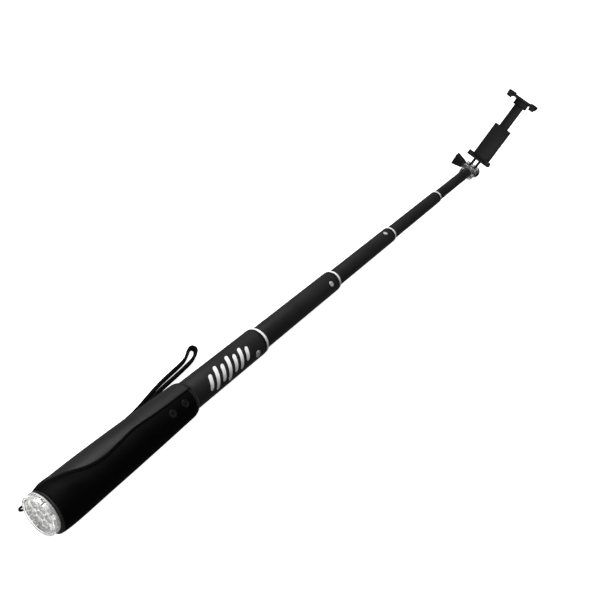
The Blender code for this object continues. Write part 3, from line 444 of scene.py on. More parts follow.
def rounded_box(low, high, radius, place, segments=3, bm=None):
    """A box with rounded edges, in the frame that place maps from."""
    made = bmesh.new()
    bmesh.ops.create_cube(made, size=1.0)
    low, high = Vector(low), Vector(high)
    for vert in made.verts:
        vert.co = Vector([low[k] if vert.co[k] < 0 else high[k] for k in range(3)])
    if radius > 0:
        bmesh.ops.bevel(made, geom=made.edges[:] + made.verts[:], offset=radius, segments=segments,
                        affect="EDGES", profile=0.5, clamp_overlap=True)
    for vert in made.verts:
        vert.co = place(*vert.co)
    if bm is None:
        return made
    mesh = bpy.data.meshes.new("part")
    made.to_mesh(mesh)
    made.free()
    bm.from_mesh(mesh)
    bpy.data.meshes.remove(mesh)
    return bm


def union(first, *others, operation="UNION"):
    """One clean solid from several bmeshes."""
    def as_object(bm):
        bmesh.ops.recalc_face_normals(bm, faces=bm.faces)
        mesh = bpy.data.meshes.new("operand")
        bm.to_mesh(mesh)
        bm.free()
        obj = bpy.data.objects.new("operand", mesh)
        bpy.context.scene.collection.objects.link(obj)
        return obj
    base = as_object(first)
    helpers = [as_object(other) for other in others]
    for helper in helpers:
        modifier = base.modifiers.new("join", "BOOLEAN")
        modifier.operation = operation
        modifier.object = helper
    graph = bpy.context.evaluated_depsgraph_get()
    mesh = bpy.data.meshes.new_from_object(base.evaluated_get(graph))
    for obj in [base, *helpers]:
        bpy.data.objects.remove(obj)
    bm = bmesh.new()
    bm.from_mesh(mesh)
    bpy.data.meshes.remove(mesh)
    return bm


def subtract(first, *others):
    return union(first, *others, operation="DIFFERENCE")


def along_curve(points, x):
    """The value at x of a smooth curve through (x, value) points."""
    if x <= points[0][0]:
        return points[0][1]
    if x >= points[-1][0]:
        return points[-1][1]
    last = len(points) - 1
    i = next(k for k in range(last) if points[k + 1][0] >= x)
    slope = [(points[min(k + 1, last)][1] - points[max(k - 1, 0)][1])
             / (points[min(k + 1, last)][0] - points[max(k - 1, 0)][0]) for k in (i, i + 1)]
    span = points[i + 1][0] - points[i][0]
    t = (x - points[i][0]) / span
    value = (2 * t ** 3 - 3 * t * t + 1) * points[i][1] + (3 * t * t - 2 * t ** 3) * points[i + 1][1]
    return value + span * ((t ** 3 - 2 * t * t + t) * slope[0] + (t ** 3 - t * t) * slope[1])


def smooth_route(points, spacing):
    """Points every spacing or so on a smooth curve through the route's own points."""
    route = []
    for i in range(len(points) - 1):
        a, b, c, d = (Vector(points[min(max(k, 0), len(points) - 1)]) for k in range(i - 1, i + 3))
        steps = max(1, round((c - b).length / spacing))
        for step in range(steps):
            t = step / steps
            route.append(b + t * ((c - a) / 2 + t * ((2 * a - 5 * b + 4 * c - d) / 2
                                                    + t * (3 * b - 3 * c + d - a) / 2)))
    route.append(Vector(points[-1]))
    return route


def tube_along(points, radius, segments=16, closed=False, bm=None):
    """A round tube along a route, with flat ends."""
    bm = bm or bmesh.new()
    rings = []
    count = len(points)
    side = Vector((0, 0, 1))
    for i, point in enumerate(points):
        ahead = points[(i + 1) % count] if closed else points[min(i + 1, count - 1)]
        behind = points[i - 1] if closed or i else points[0]
        forward = (ahead - behind).normalized()
        x = side.cross(forward)
        if x.length < 0.05:
            x = Vector((0, 1, 0)).cross(forward)
        x.normalize()
        y = forward.cross(x)
        side = y
        turns = [2 * pi * k / segments for k in range(segments)]
        rings.append([bm.verts.new(point + radius * (x * cos(a) + y * sin(a))) for a in turns])
    pairs = list(zip(rings, rings[1:]))
    if closed:
        pairs.append((rings[-1], rings[0]))
    for one, two in pairs:
        for k in range(segments):
            j = (k + 1) % segments
            bm.faces.new((one[k], one[j], two[j], two[k]))
    if not closed:
        bm.faces.new(rings[0])
        bm.faces.new(list(reversed(rings[-1])))
    return bm


# ---- places and shapes in millimetres ----
def stick_mm(x, y, z):
    return on_stick(x * MM, y * MM, z * MM)


def hinge_mm(x, y, z):
    return HINGE + Vector((x, y, z)) * MM


def clamp_mm(a, y, h):
    return on_clamp(a * MM, y * MM, h * MM)


def prism(outline, low, high, place, edge=0.0, segments=3):
    """A flat outline of (u, v) points between two depths, its rims rounded. place maps (u, depth, v)."""
    bm = bmesh.new()
    face = bm.faces.new([bm.verts.new((u, low, v)) for u, v in outline])
    result = bmesh.ops.extrude_face_region(bm, geom=[face])
    moved = [item for item in result["geom"] if isinstance(item, bmesh.types.BMVert)]
    bmesh.ops.translate(bm, verts=moved, vec=(0, high - low, 0))
    bmesh.ops.recalc_face_normals(bm, faces=bm.faces)
    if edge > 0:
        rims = [e for e in bm.edges if abs(e.verts[0].co.y - e.verts[1].co.y) < 1e-6]
        bmesh.ops.bevel(bm, geom=rims, offset=edge, segments=segments, affect="EDGES", profile=0.5,
                        clamp_overlap=True)
    for vert in bm.verts:
        vert.co = place(*vert.co)
    return bm


def drum(radius, start, end, origin, along, edge=0.0, segments=64):
    """A solid round bar along a direction, its rims rounded."""
    outline = rounded([(0, end), (radius, end), (radius, start), (0, start)], [0, edge, edge, 0])
    return lathe([(r * MM, s * MM) for r, s in outline], frame_matrix(origin, along), segments)


# ---- camera and light, made first ----
def make_camera():
    data = bpy.data.cameras.new("camera")
    data.sensor_width = 36.0
    data.lens = 43.32
    data.clip_start = 0.01
    camera = bpy.data.objects.new("camera", data)
    bpy.context.scene.collection.objects.link(camera)
    camera.location = on_stick(-168.5 * MM, -110.8 * MM, 395.2 * MM)
    right = Vector((0.53427, -0.75656, 0.37706)).normalized()
    forward = Vector((0.73173, 0.19059, -0.65441))
    up = right.cross(forward).normalized()
    forward = up.cross(right)
    camera.rotation_euler = Matrix((right, up, -forward)).transposed().to_euler()
    bpy.context.scene.camera = camera


def area_light(name, location, target, size, power, color=(1, 1, 1), size_y=None):
    data = bpy.data.lights.new(name, "AREA")
    data.energy = power
    data.color = color
    data.size = size
    if size_y:
        data.shape = "RECTANGLE"
        data.size_y = size_y
    light = bpy.data.objects.new(name, data)
    bpy.context.scene.collection.objects.link(light)
    light.location = location
    light.rotation_euler = (Vector(target) - Vector(location)).to_track_quat("-Z", "Y").to_euler()
    return light


def make_studio():
    world = bpy.data.worlds.new("studio")
    world.use_nodes = True
    background = world.node_tree.nodes["Background"]
    background.inputs["Color"].default_value = (1, 1, 1, 1)
    background.inputs["Strength"].default_value = 0.12
    bpy.context.scene.world = world
    bpy.context.scene.view_settings.view_transform = "Standard"
    area_light("key_softbox", (-0.1, 0.95, 1.15), (-0.05, 0, 0), 0.9, 26)
    area_light("tail_softbox", (-1.3, -0.1, 0.45), (-0.35, 0, 0), 0.6, 5)
    bowl = lathe([(0, 0), (6.0, 0), (7.0, 0.2), (7.7, 0.8), (8.0, 2.0), (8.0, 6.0), (6.0, 9.0), (0, 11.0)],
                 Matrix.Translation((0, 0, FLOOR_Z)), 48)
    mesh = bpy.data.meshes.new("floor")
    bowl.to_mesh(mesh)
    bowl.free()
    obj = bpy.data.objects.new("floor", mesh)
    mesh.materials.append(white_floor())
    bpy.context.scene.collection.objects.link(obj)
    # the floor shows white without washing out the black pieces that lie on it
    obj.visible_glossy = False
    obj.visible_diffuse = False


# ---- telescopic tubes ----
X_AXIS = Vector((1, 0, 0))


def stick_turned(name, outline, material, body, replaced=(), segments=128, sharp=38):
    """A turned piece on the tubes' axis, from (radius, x) points in the row frame's x."""
    origin = Vector((0, AXIS_Y, AXIS_Z))
    return turned(name, outline, origin, X_AXIS, material, body, replaced, segments, sharp)


def tube_outline(inner, outer, start, end, lip):
    return rounded([(outer, end), (outer, start), (inner, start), (inner, end)], [lip, lip, 0, 0], 3)


def build_tubes():
    names = ["main_tube", "tube_2", "tube_3", "tube_4", "tube_5"]
    bodies = ["handle", "section_2", "section_3", "section_4", "section_5"]
    bores = [radius_of(f"guide_bush_{k}") + 0.12 * MM for k in range(2, 6)] + [radius_of("tube_5") - 0.6 * MM]
    for number, (node, body, bore) in enumerate(zip(names, bodies, bores), 1):
        low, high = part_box(node)
        outer = (high.y - low.y) / 2
        outline = tube_outline(bore, outer, low.x, high.x, 0.15 * MM)
        tube = lathe(outline, frame_matrix(Vector((0, AXIS_Y, AXIS_Z)), X_AXIS), 128)
        if number < 4:
            tube = subtract(tube, rivet_solid(number, 0.1 * MM, 1.5 * MM))
        finish_mesh(f"{node}_skin", tube, TUBE_BLACK, body, [node])
        if number < 5:
            build_mouth(number, outer, body)
        if number < 4:
            build_rivet(number, body)


def build_mouth(number, outer, body):
    """The rounded black end cap, then the white ring round the next tube."""
    low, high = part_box(f"end_cap_{number}")
    ring_low, ring_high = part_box(f"white_ring_{number}")
    tube_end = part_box("main_tube" if number == 1 else f"tube_{number}")[1].x
    next_outer = radius_of(f"tube_{number + 1}")
    bore = next_outer + 0.12 * MM
    spigot = bore + 0.4 * (outer - bore)
    front = high.x
    outline = rounded([(outer, front), (outer, tube_end + 0.08 * MM), (spigot, tube_end + 0.08 * MM),
                       (spigot, low.x), (bore, low.x), (bore, front)],
                      [1.15 * MM, 0.12 * MM, 0, 0, 0, 0.1 * MM], 6)
    stick_turned(f"end_cap_{number}_skin", outline, PLASTIC_BLACK, body, [f"end_cap_{number}"])
    ring_outer = (ring_high.y - ring_low.y) / 2
    outline = rounded([(ring_outer, ring_high.x), (ring_outer, ring_low.x), (bore, ring_low.x),
                       (bore, ring_high.x)], [0.28 * MM, 0.05 * MM, 0, 0.08 * MM], 4)
    stick_turned(f"white_ring_{number}_skin", outline, WHITE, body, [f"white_ring_{number}"])


def rivet_direction(number):
    offset = middle(f"rivet_{number}") - Vector((middle(f"rivet_{number}").x, AXIS_Y, AXIS_Z))
    return offset.normalized(), offset.length


def rivet_solid(number, extra, reach):
    direction, distance = rivet_direction(number)
    low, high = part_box(f"rivet_{number}")
    radius = (high.x - low.x) / 2 + extra
    origin = Vector((middle(f"rivet_{number}").x, AXIS_Y, AXIS_Z)) + direction * (distance - reach)
    return lathe([(0, 3 * reach), (radius, 3 * reach), (radius, -0.5 * reach), (0, -0.5 * reach)],
                 frame_matrix(origin, direction), 48)


def build_rivet(number, body):
    """A flat-headed rivet with a soft rim and a shallow dimple."""
    direction, distance = rivet_direction(number)
    low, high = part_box(f"rivet_{number}")
    radius = (high.x - low.x) / 2
    outer = radius_of("main_tube" if number == 1 else f"tube_{number}")
    origin = Vector((middle(f"rivet_{number}").x, AXIS_Y, AXIS_Z))
    top = outer + 0.12 * MM
    outline = [(0, top - 0.1 * MM), (0.35 * radius, top - 0.09 * MM), (0.62 * radius, top - 0.02 * MM),
               (0.8 * radius, top), (0.93 * radius, top - 0.05 * MM), (radius, top - 0.2 * MM),
               (radius, outer - 0.7 * MM), (0, outer - 0.7 * MM)]
    bm = lathe(outline, frame_matrix(origin, direction), 64)
    finish_mesh(f"rivet_{number}_head", bm, RIVET, body, [f"rivet_{number}"], 50)


# ---- grip: the same curves as its CAD sections, in mm and degrees ----
GRIP_RIGHT = [(0, 15.5), (3, 16.0), (12, 16.3), (35, 15.8), (68, 15.1), (97, 14.35), (118, 13.7)]
GRIP_LEFT = [(0, 13.0), (5, 13.9), (12, 14.4), (35, 14.7), (68, 14.3), (97, 13.6), (118, 13.0)]
GRIP_TOP_RISE = 0.9
CREASE = [(0, -108), (6, -78), (11, -47), (20, -18), (30, -1), (42, 3.5), (54, 0), (68, -4.5), (88, -0.5),
          (122, 2)]
CREASE_DEPTH = [(0, 0.2), (8, 0.7), (24, 1.5), (50, 1.3), (75, 0.8), (122, 0.6)]
CREASE_LIP = 0.5
CREASE_WIDTH = 24.0
PANEL_LAST_ANGLE = 150.0
PANEL_SPAN = (1.0, 117.5)
PANEL_THICKNESS = 1.4
PANEL_BED = 1.85
BUTTON_ANGLE = 27.0
BUTTON_GAP = 0.2 * MM
BUTTON_ROW_X = 102.75
GRIP_END = [(117.5, 1.0), (118.4, 0.985), (119.4, 0.965), (120.6, 0.93), (121.4, 0.89), (121.7, 0.86)]
EDGE_ROUND = 0.55


def crease_at(x):
    return along_curve(CREASE, x)


def grip_radius(x, angle):
    right, left = along_curve(GRIP_RIGHT, x), along_curve(GRIP_LEFT, x)
    radius = left + (right - left) * (1 + sin(radians(angle))) / 2
    radius += GRIP_TOP_RISE * max(0, cos(radians(angle))) ** 2
    flat = (AXIS_Z - FLOOR_Z) / MM
    below = -cos(radians(angle))
    return min(radius, flat / below) if below > 0.1 else radius


def panel_radius(x, angle):
    fall = exp(-((angle - crease_at(x)) / CREASE_WIDTH) ** 2)
    return grip_radius(x, angle) - along_curve(CREASE_DEPTH, x) * fall


def shell_radius(x, angle):
    beyond = crease_at(x) - angle + (360 if angle > crease_at(x) else 0)
    return grip_radius(x, angle) + CREASE_LIP * exp(-(beyond / CREASE_WIDTH) ** 2)


def grip_stations():
    """Denser near the torch, where the raised edge sweeps round."""
    return [PANEL_SPAN[0] + (PANEL_SPAN[1] - PANEL_SPAN[0]) * (i / 90) ** 1.25 for i in range(91)]


def sleeve_section(x, share=1.0, recessed=True):
    first, last = crease_at(x), PANEL_LAST_ANGLE
    section = []
    for i in range(81):
        angle = first + (last - first) * i / 80
        radius = panel_radius(x, angle) - (PANEL_BED if recessed else 0)
        section.append((angle, radius * share))
    start, end = last + 0.5, first + 360 - 0.5
    for i in range(121):
        angle = start + (end - start) * i / 120
        radius = shell_radius(x, angle)
        # the edges of the shell are rounded over their last half millimetre
        distance = min(angle - start, end - angle) / 57.3 * radius
        if distance < EDGE_ROUND:
            radius -= EDGE_ROUND - sqrt(EDGE_ROUND ** 2 - (EDGE_ROUND - distance) ** 2)
        section.append((angle, radius * share))
    return section


def build_grip():
    bore = radius_of("main_tube") / MM + 0.15
    sections = [(0.0, sleeve_section(0, 0.972, False)), (0.25, sleeve_section(0.25, 0.992, False)),
                (0.6, sleeve_section(0.6, 1.0, False)), (0.95, sleeve_section(0.95, 1.0, False))]
    sections += [(x, sleeve_section(x)) for x in grip_stations()]
    sections += [(x + 0.05, sleeve_section(x, share, False)) for x, share in GRIP_END]
    bm = bmesh.new()
    rings = []
    for x, section in sections:
        rings.append([bm.verts.new(on_stick(x * MM, *around(radius * MM, angle)))
                      for angle, radius in section])
    for x, section in (sections[-1], sections[0]):
        rings.append([bm.verts.new(on_stick(x * MM, *around(bore * MM, angle))) for angle, radius in section])
    # the bore follows the outer sections' angles, so that its faces stay flat
    inner = rings[-2:]
    outer = rings[:-2]
    middle_rings = []
    for x, section in reversed(sections[1:-1]):
        middle_rings.append([bm.verts.new(on_stick(x * MM, *around(bore * MM, angle)))
                             for angle, radius in section])
    order = [*outer, inner[0], *middle_rings, inner[1]]
    for one, two in zip(order, order[1:] + order[:1]):
        count = len(one)
        for i in range(count):
            j = (i + 1) % count
            bm.faces.new((one[i], one[j], two[j], two[i]))
    # the room for the buttons' board and the groove for its cable
    room = rounded_box((-13.5, -4.2, 9.7), (13.5, 4.2, 19.7), 0, button_row_mm)
    groove = rounded_box((-99.8, -1.5, 9.3), (-12, 1.5, 11.8), 0, button_row_mm)
    bm = subtract(bm, room, groove)
    finish_mesh("grip_shell", bm, GRIP_SOFT, "handle", ["grip_sleeve"], 42)


def button_row_mm(x, across, out):
    """A point by its place in the row of buttons: along the stick, across the row and out from the axis."""
    turn = radians(BUTTON_ANGLE)
    return stick_mm(BUTTON_ROW_X + x, across * cos(turn) - out * sin(turn),
                    across * sin(turn) + out * cos(turn))


def panel_grid(x_values):
    """(x, angle, radius) rows of the panel's outer face, with its rim rounded."""
    rows = []
    x_first, x_last = x_values[0], x_values[-1]
    for x in x_values:
        first = crease_at(x) + 1.7
        last = PANEL_LAST_ANGLE - 0.9
        row = []
        for i in range(121):
            angle = first + (last - first) * i / 120
            radius = panel_radius(x, angle)
            side = min(angle - first, last - angle) / 57.3 * radius
            distance = min(side, x - x_first, x_last - x)
            if distance < EDGE_ROUND:
                radius -= EDGE_ROUND - sqrt(max(0, EDGE_ROUND ** 2 - (EDGE_ROUND - distance) ** 2))
            row.append((x, angle, radius))
        rows.append(row)
    return rows


def build_panel():
    stations = grip_stations()
    low, high = stations[0] + 0.25, stations[-1] - 0.25
    inner = [low, low + 0.08, low + 0.25, low + 0.5, *[x for x in stations if low + 0.8 < x < high - 0.8],
             high - 0.5, high - 0.25, high - 0.08, high]
    rows = panel_grid(inner)
    bm = bmesh.new()
    outer = [[bm.verts.new(on_stick(x * MM, *around(r * MM, a))) for x, a, r in row] for row in rows]
    under = [[bm.verts.new(on_stick(x * MM, *around((panel_radius(x, a) - PANEL_THICKNESS) * MM, a)))
              for x, a, r in row] for row in rows]
    for grid in (outer, under):
        for one, two in zip(grid, grid[1:]):
            for i in range(len(one) - 1):
                bm.faces.new((one[i], one[i + 1], two[i + 1], two[i]))
    last = len(rows) - 1
    edge = len(rows[0]) - 1
    for i in range(edge):
        bm.faces.new((outer[0][i], outer[0][i + 1], under[0][i + 1], under[0][i]))
        bm.faces.new((outer[last][i], outer[last][i + 1], under[last][i + 1], under[last][i]))
    for k in range(last):
        bm.faces.new((outer[k][0], outer[k + 1][0], under[k + 1][0], under[k][0]))
        bm.faces.new((outer[k][edge], outer[k + 1][edge], under[k + 1][edge], under[k][edge]))
    holes = []
    for node in ("shutter_button", "light_button"):
        origin, direction, radius, top = button_frame(node)
        wide = radius + BUTTON_GAP
        outline = [(0, top + 4 * MM), (wide, top + 4 * MM), (wide, top - 6 * MM), (0, top - 6 * MM)]
        holes.append(lathe(outline, frame_matrix(origin, direction), 64))
    bm = subtract(bm, *holes)
    finish_mesh("grip_cover", bm, PANEL_SOFT, "handle", ["grip_panel"], 42)


# ---- buttons ----
def button_frame(node):
    """(a point on the stick's axis, outward direction, radius, height of the top over the axis)."""
    press = Vector(JOINTS["shutter_press"]["axis"])
    low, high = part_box(node)
    origin = Vector(((low.x + high.x) / 2, AXIS_Y, AXIS_Z))
    direction = -press.normalized()
    reach = max((v.co - origin).dot(direction) for v in NODES[node].data.vertices)
    return origin, direction, (high.x - low.x) / 2, reach


def build_buttons():
    """Round keys: a dished top with a raised rim, and a light printed ring on it."""
    for node in ("shutter_button", "light_button"):
        origin, direction, radius, top = button_frame(node)
        base = min((v.co - origin).dot(direction) for v in NODES[node].data.vertices)
        outline = [(0, top - 0.22 * MM), (0.9 * MM, top - 0.2 * MM), (1.5 * MM, top - 0.1 * MM),
                   (2.0 * MM, top), (radius - 0.45 * MM, top), (radius - 0.15 * MM, top - 0.1 * MM),
                   (radius, top - 0.35 * MM), (radius, base), (0, base)]
        bm = lathe(outline, frame_matrix(origin, direction), 64)
        finish_mesh(f"{node}_key", bm, KEY_SOFT, node, [node], 50)
        ring = [(1.95 * MM, top + 0.02 * MM), (1.95 * MM, top - 0.05 * MM), (1.45 * MM, top - 0.14 * MM),
                (1.45 * MM, top - 0.06 * MM)]
        bm = lathe(ring, frame_matrix(origin, direction), 64)
        finish_mesh(f"{node}_print", bm, PRINT_GREY, node, (), 60)


# ---- tail torch ----
CUP_RADIUS = 6.54 * MM
CUP_MOUTH = 2.9 * MM
CUP_FLOOR = 1.5 * MM
BOARD_RADIUS = 9.6 * MM
DOME_RADIUS = 1.15 * MM
BLOCKS = 22
BLOCK_ORDER = "cfcffgcffcg"  # chrome, frosted or grey
BLOCK_GAP = 0.8  # degrees at each end of a block


def build_torch():
    low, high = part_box("torch_bezel")
    outer = (high.y - low.y) / 2
    front, back = low.x, high.x
    lens_low, lens_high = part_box("torch_lens")
    lens_radius = (lens_high.y - lens_low.y) / 2
    bore = lens_radius + 0.1 * MM
    lip = bore - 0.5 * MM
    # the rim is a thin clear shell round a ring of blocks
    shell = outer - 0.5 * MM
    outline = rounded([(outer, back), (outer, front), (lip, front), (lip, front + 0.5 * MM),
                       (shell, front + 0.5 * MM), (shell, back)],
                      [0.15 * MM, 0.5 * MM, 0.15 * MM, 0, 0.2 * MM, 0], 5)
    stick_turned("torch_bezel_skin", outline, CLEAR, "torch_head", ["torch_bezel"])
    kinds = {"chrome": (CHROME, "chrome"), "frosted": (FROSTED, "clear_plastic"),
             "grey": (GREY, "grey_plastic")}
    for kind, (material, slot) in kinds.items():
        bm = bmesh.new()
        for i in range(BLOCKS):
            if BLOCK_ORDER[i % len(BLOCK_ORDER)] == kind[0]:
                ring_block(bm, bore, shell - 0.06 * MM, front + 0.6 * MM, back, i)
        finish_mesh(f"torch_ring_{kind}", bm, material, "torch_head", ())
    edge = 0.15 * MM
    outline = [(0, lens_high.x), (lens_radius, lens_high.x), (lens_radius, lens_low.x + edge),
               (lens_radius - edge, lens_low.x), (0, lens_low.x)]
    stick_turned("torch_lens_disc", outline, LENS, "torch_head", ["torch_lens"])
    build_reflector()
    build_lamps()


def ring_block(bm, inner, outer, front, back, number):
    """One block of the torch's rim: a short arc with a small gap to its neighbours."""
    step = 360 / BLOCKS
    first, last = number * step + BLOCK_GAP, (number + 1) * step - BLOCK_GAP
    rows = []
    for i in range(7):
        angle = first + (last - first) * i / 6
        ends = 0.12 * MM if i in (0, 6) else 0
        corners = [(inner, front + ends), (outer - ends, front + ends), (outer - ends, back), (inner, back)]
        rows.append([bm.verts.new(Vector((x, AXIS_Y + around(r, angle)[0], AXIS_Z + around(r, angle)[1])))
                     for r, x in corners])
    for one, two in zip(rows, rows[1:]):
        for k in range(4):
            bm.faces.new((one[k], one[(k + 1) % 4], two[(k + 1) % 4], two[k]))
    bm.faces.new(rows[0])
    bm.faces.new(rows[-1])


def lamp_spots():
    return [(0.0, 0.0)] + [around(CUP_RADIUS, 60 * i) for i in range(6)]


def build_reflector():
    """A metallised plate with seven curved cups."""
    low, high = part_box("torch_reflector")
    front, plate_back = low.x, high.x
    rim = (high.y - low.y) / 2
    step = GRIP_X - 1.3 * MM
    outline = [(0, plate_back), (BOARD_RADIUS, plate_back), (BOARD_RADIUS, step), (rim, step),
               (rim, front + 0.1 * MM), (rim - 0.1 * MM, front), (0, front)]
    plate = lathe(outline, frame_matrix(Vector((0, AXIS_Y, AXIS_Z)), X_AXIS), 128)
    cups = []
    for y, z in lamp_spots():
        wall = [(CUP_FLOOR + (CUP_MOUTH - CUP_FLOOR) * sqrt(i / 10), plate_back - 0.5 * MM
                 - (3.1 * MM) * i / 10) for i in range(11)]
        mouth = CUP_MOUTH + 0.1 * MM
        outline = [(0, plate_back + MM), (CUP_FLOOR, plate_back + MM), *wall, (mouth, front - 0.1 * MM),
                   (mouth, front - MM), (0, front - MM)]
        cups.append(lathe(outline, frame_matrix(Vector((0, AXIS_Y + y, AXIS_Z + z)), X_AXIS), 48))
    finish_mesh("torch_reflector_plate", subtract(plate, *cups), REFLECTOR, "torch_head", ["torch_reflector"],
                40)


def build_lamps():
    """The lamps' board, with a clear dome over a yellow chip for each lamp."""
    low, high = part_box("led_board")
    board_back = high.x
    board_front = board_back - MM
    board = [(0, board_back), (BOARD_RADIUS, board_back), (BOARD_RADIUS, board_front), (0, board_front)]
    stick_turned("lamp_board", board, BOARD_WHITE, "torch_head", ["led_board"], 96)
    domes, chips = bmesh.new(), bmesh.new()
    for y, z in lamp_spots():
        place = frame_matrix(Vector((0, AXIS_Y + y, AXIS_Z + z)), X_AXIS)
        tip = low.x + 0.1 * MM
        dome = [(DOME_RADIUS * sin(radians(a)), tip + DOME_RADIUS * (1 - cos(radians(a))))
                for a in range(0, 91, 10)]
        foot = board_front - 0.02 * MM
        lathe([*dome, (DOME_RADIUS, foot), (0, foot)], place, 32, domes)
        chip, chip_front, chip_back = 0.6 * MM, tip + 1.0 * MM, tip + 1.3 * MM
        lathe([(0, chip_front), (chip, chip_front), (chip, chip_back), (0, chip_back)], place, 24, chips)
    finish_mesh("lamp_domes", domes, CLEAR, "torch_head", (), 60)
    finish_mesh("lamp_chips", chips, PHOSPHOR, "torch_head", (), 60)


# ---- strap ring, loop and crimp ----
LUG_ANGLE = -132.0
LUG_RADIUS = 15.4


def build_strap_ring():
    """A thin clear ring whose ear, with its hole, takes the strap's loop."""
    front, back = -1.25, -0.15
    outline = rounded([(13.6, back), (13.6, front), (10.6, front), (10.6, back)], [0.25, 0.3, 0, 0], 4)
    ring = lathe([(r * MM, x * MM) for r, x in outline], frame_matrix(stick_mm(0, 0, 0), X_AXIS), 128)
    centre = stick_mm(0, *around(LUG_RADIUS, LUG_ANGLE))
    ear = drum(2.2, front + 0.02, back - 0.02, centre, X_AXIS, 0.3)
    hole = drum(1.15, -4, 4, centre, X_AXIS)
    finish_mesh("strap_ring_skin", subtract(union(ring, ear), hole), FROSTED, "handle", ["strap_ring"],
                40)


def build_loop():
    """The thin cord through the ear, and the crimp that joins it to the strap."""
    inner, outer = (Vector((0, *around(LUG_RADIUS + reach, LUG_ANGLE))) for reach in (0, 4.1))
    height = 2.5 - (AXIS_Z - FLOOR_Z) / MM
    entry = [Vector((8.2, 14.6 + side * 0.95, height)) for side in (-1, 1)]
    bend = [inner + (outer - inner) * share + Vector((x, 0, 0))
            for share, x in ((0, -2.4), (0.15, -3.4), (0.5, -3.9), (0.85, -3.4), (1, -2.4))]
    route = [entry[0], inner + Vector((2.6, 0.5, 0)), inner, *bend, outer, outer + Vector((3.4, 0.3, 0.2)),
             entry[1]]
    points = [stick_mm(*point) for point in smooth_route(route, 0.5)]
    loop = finish_mesh("strap_loop_cord", tube_along(points, 0.75 * MM), NYLON, "handle", ["strap_loop"],
                       60)
    solid = rounded_box((9, 11.7, height - 2.45), (16, 17.5, height + 2.45), 1.1, stick_mm, 5)
    grooves = [rounded_box((11 + 1.6 * i, 10, height + 2.2), (11.6 + 1.6 * i, 19, height + 4), 0.15, stick_mm)
               for i in range(3)]
    crimp = finish_mesh("strap_crimp_skin", subtract(solid, *grooves), PLASTIC_BLACK, "handle",
                        ["strap_crimp"], 40)
    return loop, crimp


# ---- strap ----
STRAP_ROUTE = [(16.4, 12.9), (24, 12.8), (40, 12.9), (62, 13.1), (80, 13.6), (92, 14.8), (104, 16.8),
               (114, 18.4), (123, 19.5), (136, 20.4), (148, 21.4), (158, 22.6), (165, 24.9),
               (168.6, 27.9), (167.6, 30.6), (164.6, 31.0), (160.4, 28.9), (154.5, 26.4), (147, 25.2),
               (136, 24.2), (123, 22.9), (110, 20.7), (98, 18.5), (86, 17.0), (62, 16.3), (40, 16.2),
               (24, 16.2), (16.4, 16.2)]
STRAP_WIDTH = 5.0 * MM
STRAP_THICKNESS = 2.3 * MM


def build_strap():
    """The flat woven band stands on its edge on the floor, as such a loop lies."""
    middle_z = STRAP_WIDTH / 2 - (AXIS_Z - FLOOR_Z)
    points = [on_stick(x * MM, y * MM, middle_z) for x, y in STRAP_ROUTE]
    route = smooth_route(points, 1.6 * MM)
    half, thick = STRAP_WIDTH / 2, STRAP_THICKNESS / 2
    section = rounded([(thick, half), (thick, -half), (-thick, -half), (-thick, half)], [0.6 * MM] * 4, 3)
    bm = bmesh.new()
    rings = []
    for i, point in enumerate(route):
        forward = (route[min(i + 1, len(route) - 1)] - route[max(i - 1, 0)]).normalized()
        side = Vector((-forward.y, forward.x, 0))
        rings.append([bm.verts.new(point + side * u + Vector((0, 0, v))) for u, v in section])
    count = len(section)
    for one, two in zip(rings, rings[1:]):
        for i in range(count):
            j = (i + 1) % count
            bm.faces.new((one[i], one[j], two[j], two[i]))
    bm.faces.new(rings[0])
    bm.faces.new(list(reversed(rings[-1])))
    loop, crimp = build_loop()
    strap = finish_mesh("strap_band", bm, NYLON, "handle", ["wrist_strap"], 60)


# ---- the head's sizes in mm, as in its CAD ----
RIGHT = Vector((0, -1, 0))
LEFT = Vector((0, 1, 0))
BOLT_HOLE = 2.65
THROUGH = 20  # further than any piece reaches from the hinge
LAST_TUBE_END = 643.65
COLLAR_RADIUS, COLLAR_END = 6.6, 647.0
PLUG_START = 629.6
BASE_HALF, BASE_ROUNDING = (8.8, 7.2), 3.0
BASE_SPAN = (645.8, 650.2)
PRONG_RADIUS, PRONG_REACH, PRONG_TAIL = 6.9, 9.2, 4.8
MIDDLE_PRONG, OUTER_PRONG = 1.9, (4.9, 8.5)
NUT_BOSS_RADIUS, NUT_BOSS_SPAN = 5.4, (7.5, 10.4)
NUT_SIZE, NUT_SPAN = 8.0, (-11.2, -8.0)
KNOB_SPAN, KNOB_HALF_THICKNESS = (9.2, 24.2), 3.2
KNOB_HALF_HEIGHTS = (4.3, 7.7)
FORK_RADIUS, FORK_PRONG = 6.3, (2.2, 4.5)
JAW_FRONT, LIP_BACK, JAW_BACK = -2.4, -0.9, 12.7
STEP = 0.3  # between joined shapes
LOWER_HALF, LOWER_BAR = 15.5, (13.4, 15.8)
UPPER_HALF, UPPER_BAR = 19.2, (96.3, 99.5)
RAIL_HALF, RAIL_FRONT, RAIL_BACK, RAIL_TOP = 11, 13.1, 19.4, 60
SCREW_Y, SCREW_HEIGHT, SCREW_HEAD = 6.0, 15.9, 19.95
STEM_HALF, STEM_SPAN, STEM_LOW = 5.8, (13.5, 17.7), 40


def both_sides(inner, outer):
    """A span across the stick, on the left and on the right."""
    return (inner, outer), (-outer, -inner)


# ---- knuckle ----
def prong_outline(radius, reach, tail):
    points = [(radius * cos(radians(a)), radius * sin(radians(a))) for a in range(-120, 121, 8)]
    return [(-reach, -tail), *points, (-reach, tail)]


def hexagon(across_flats):
    radius = across_flats / 2 / cos(pi / 6)
    return [(radius * sin(radians(a)), radius * cos(radians(a))) for a in range(0, 360, 60)]


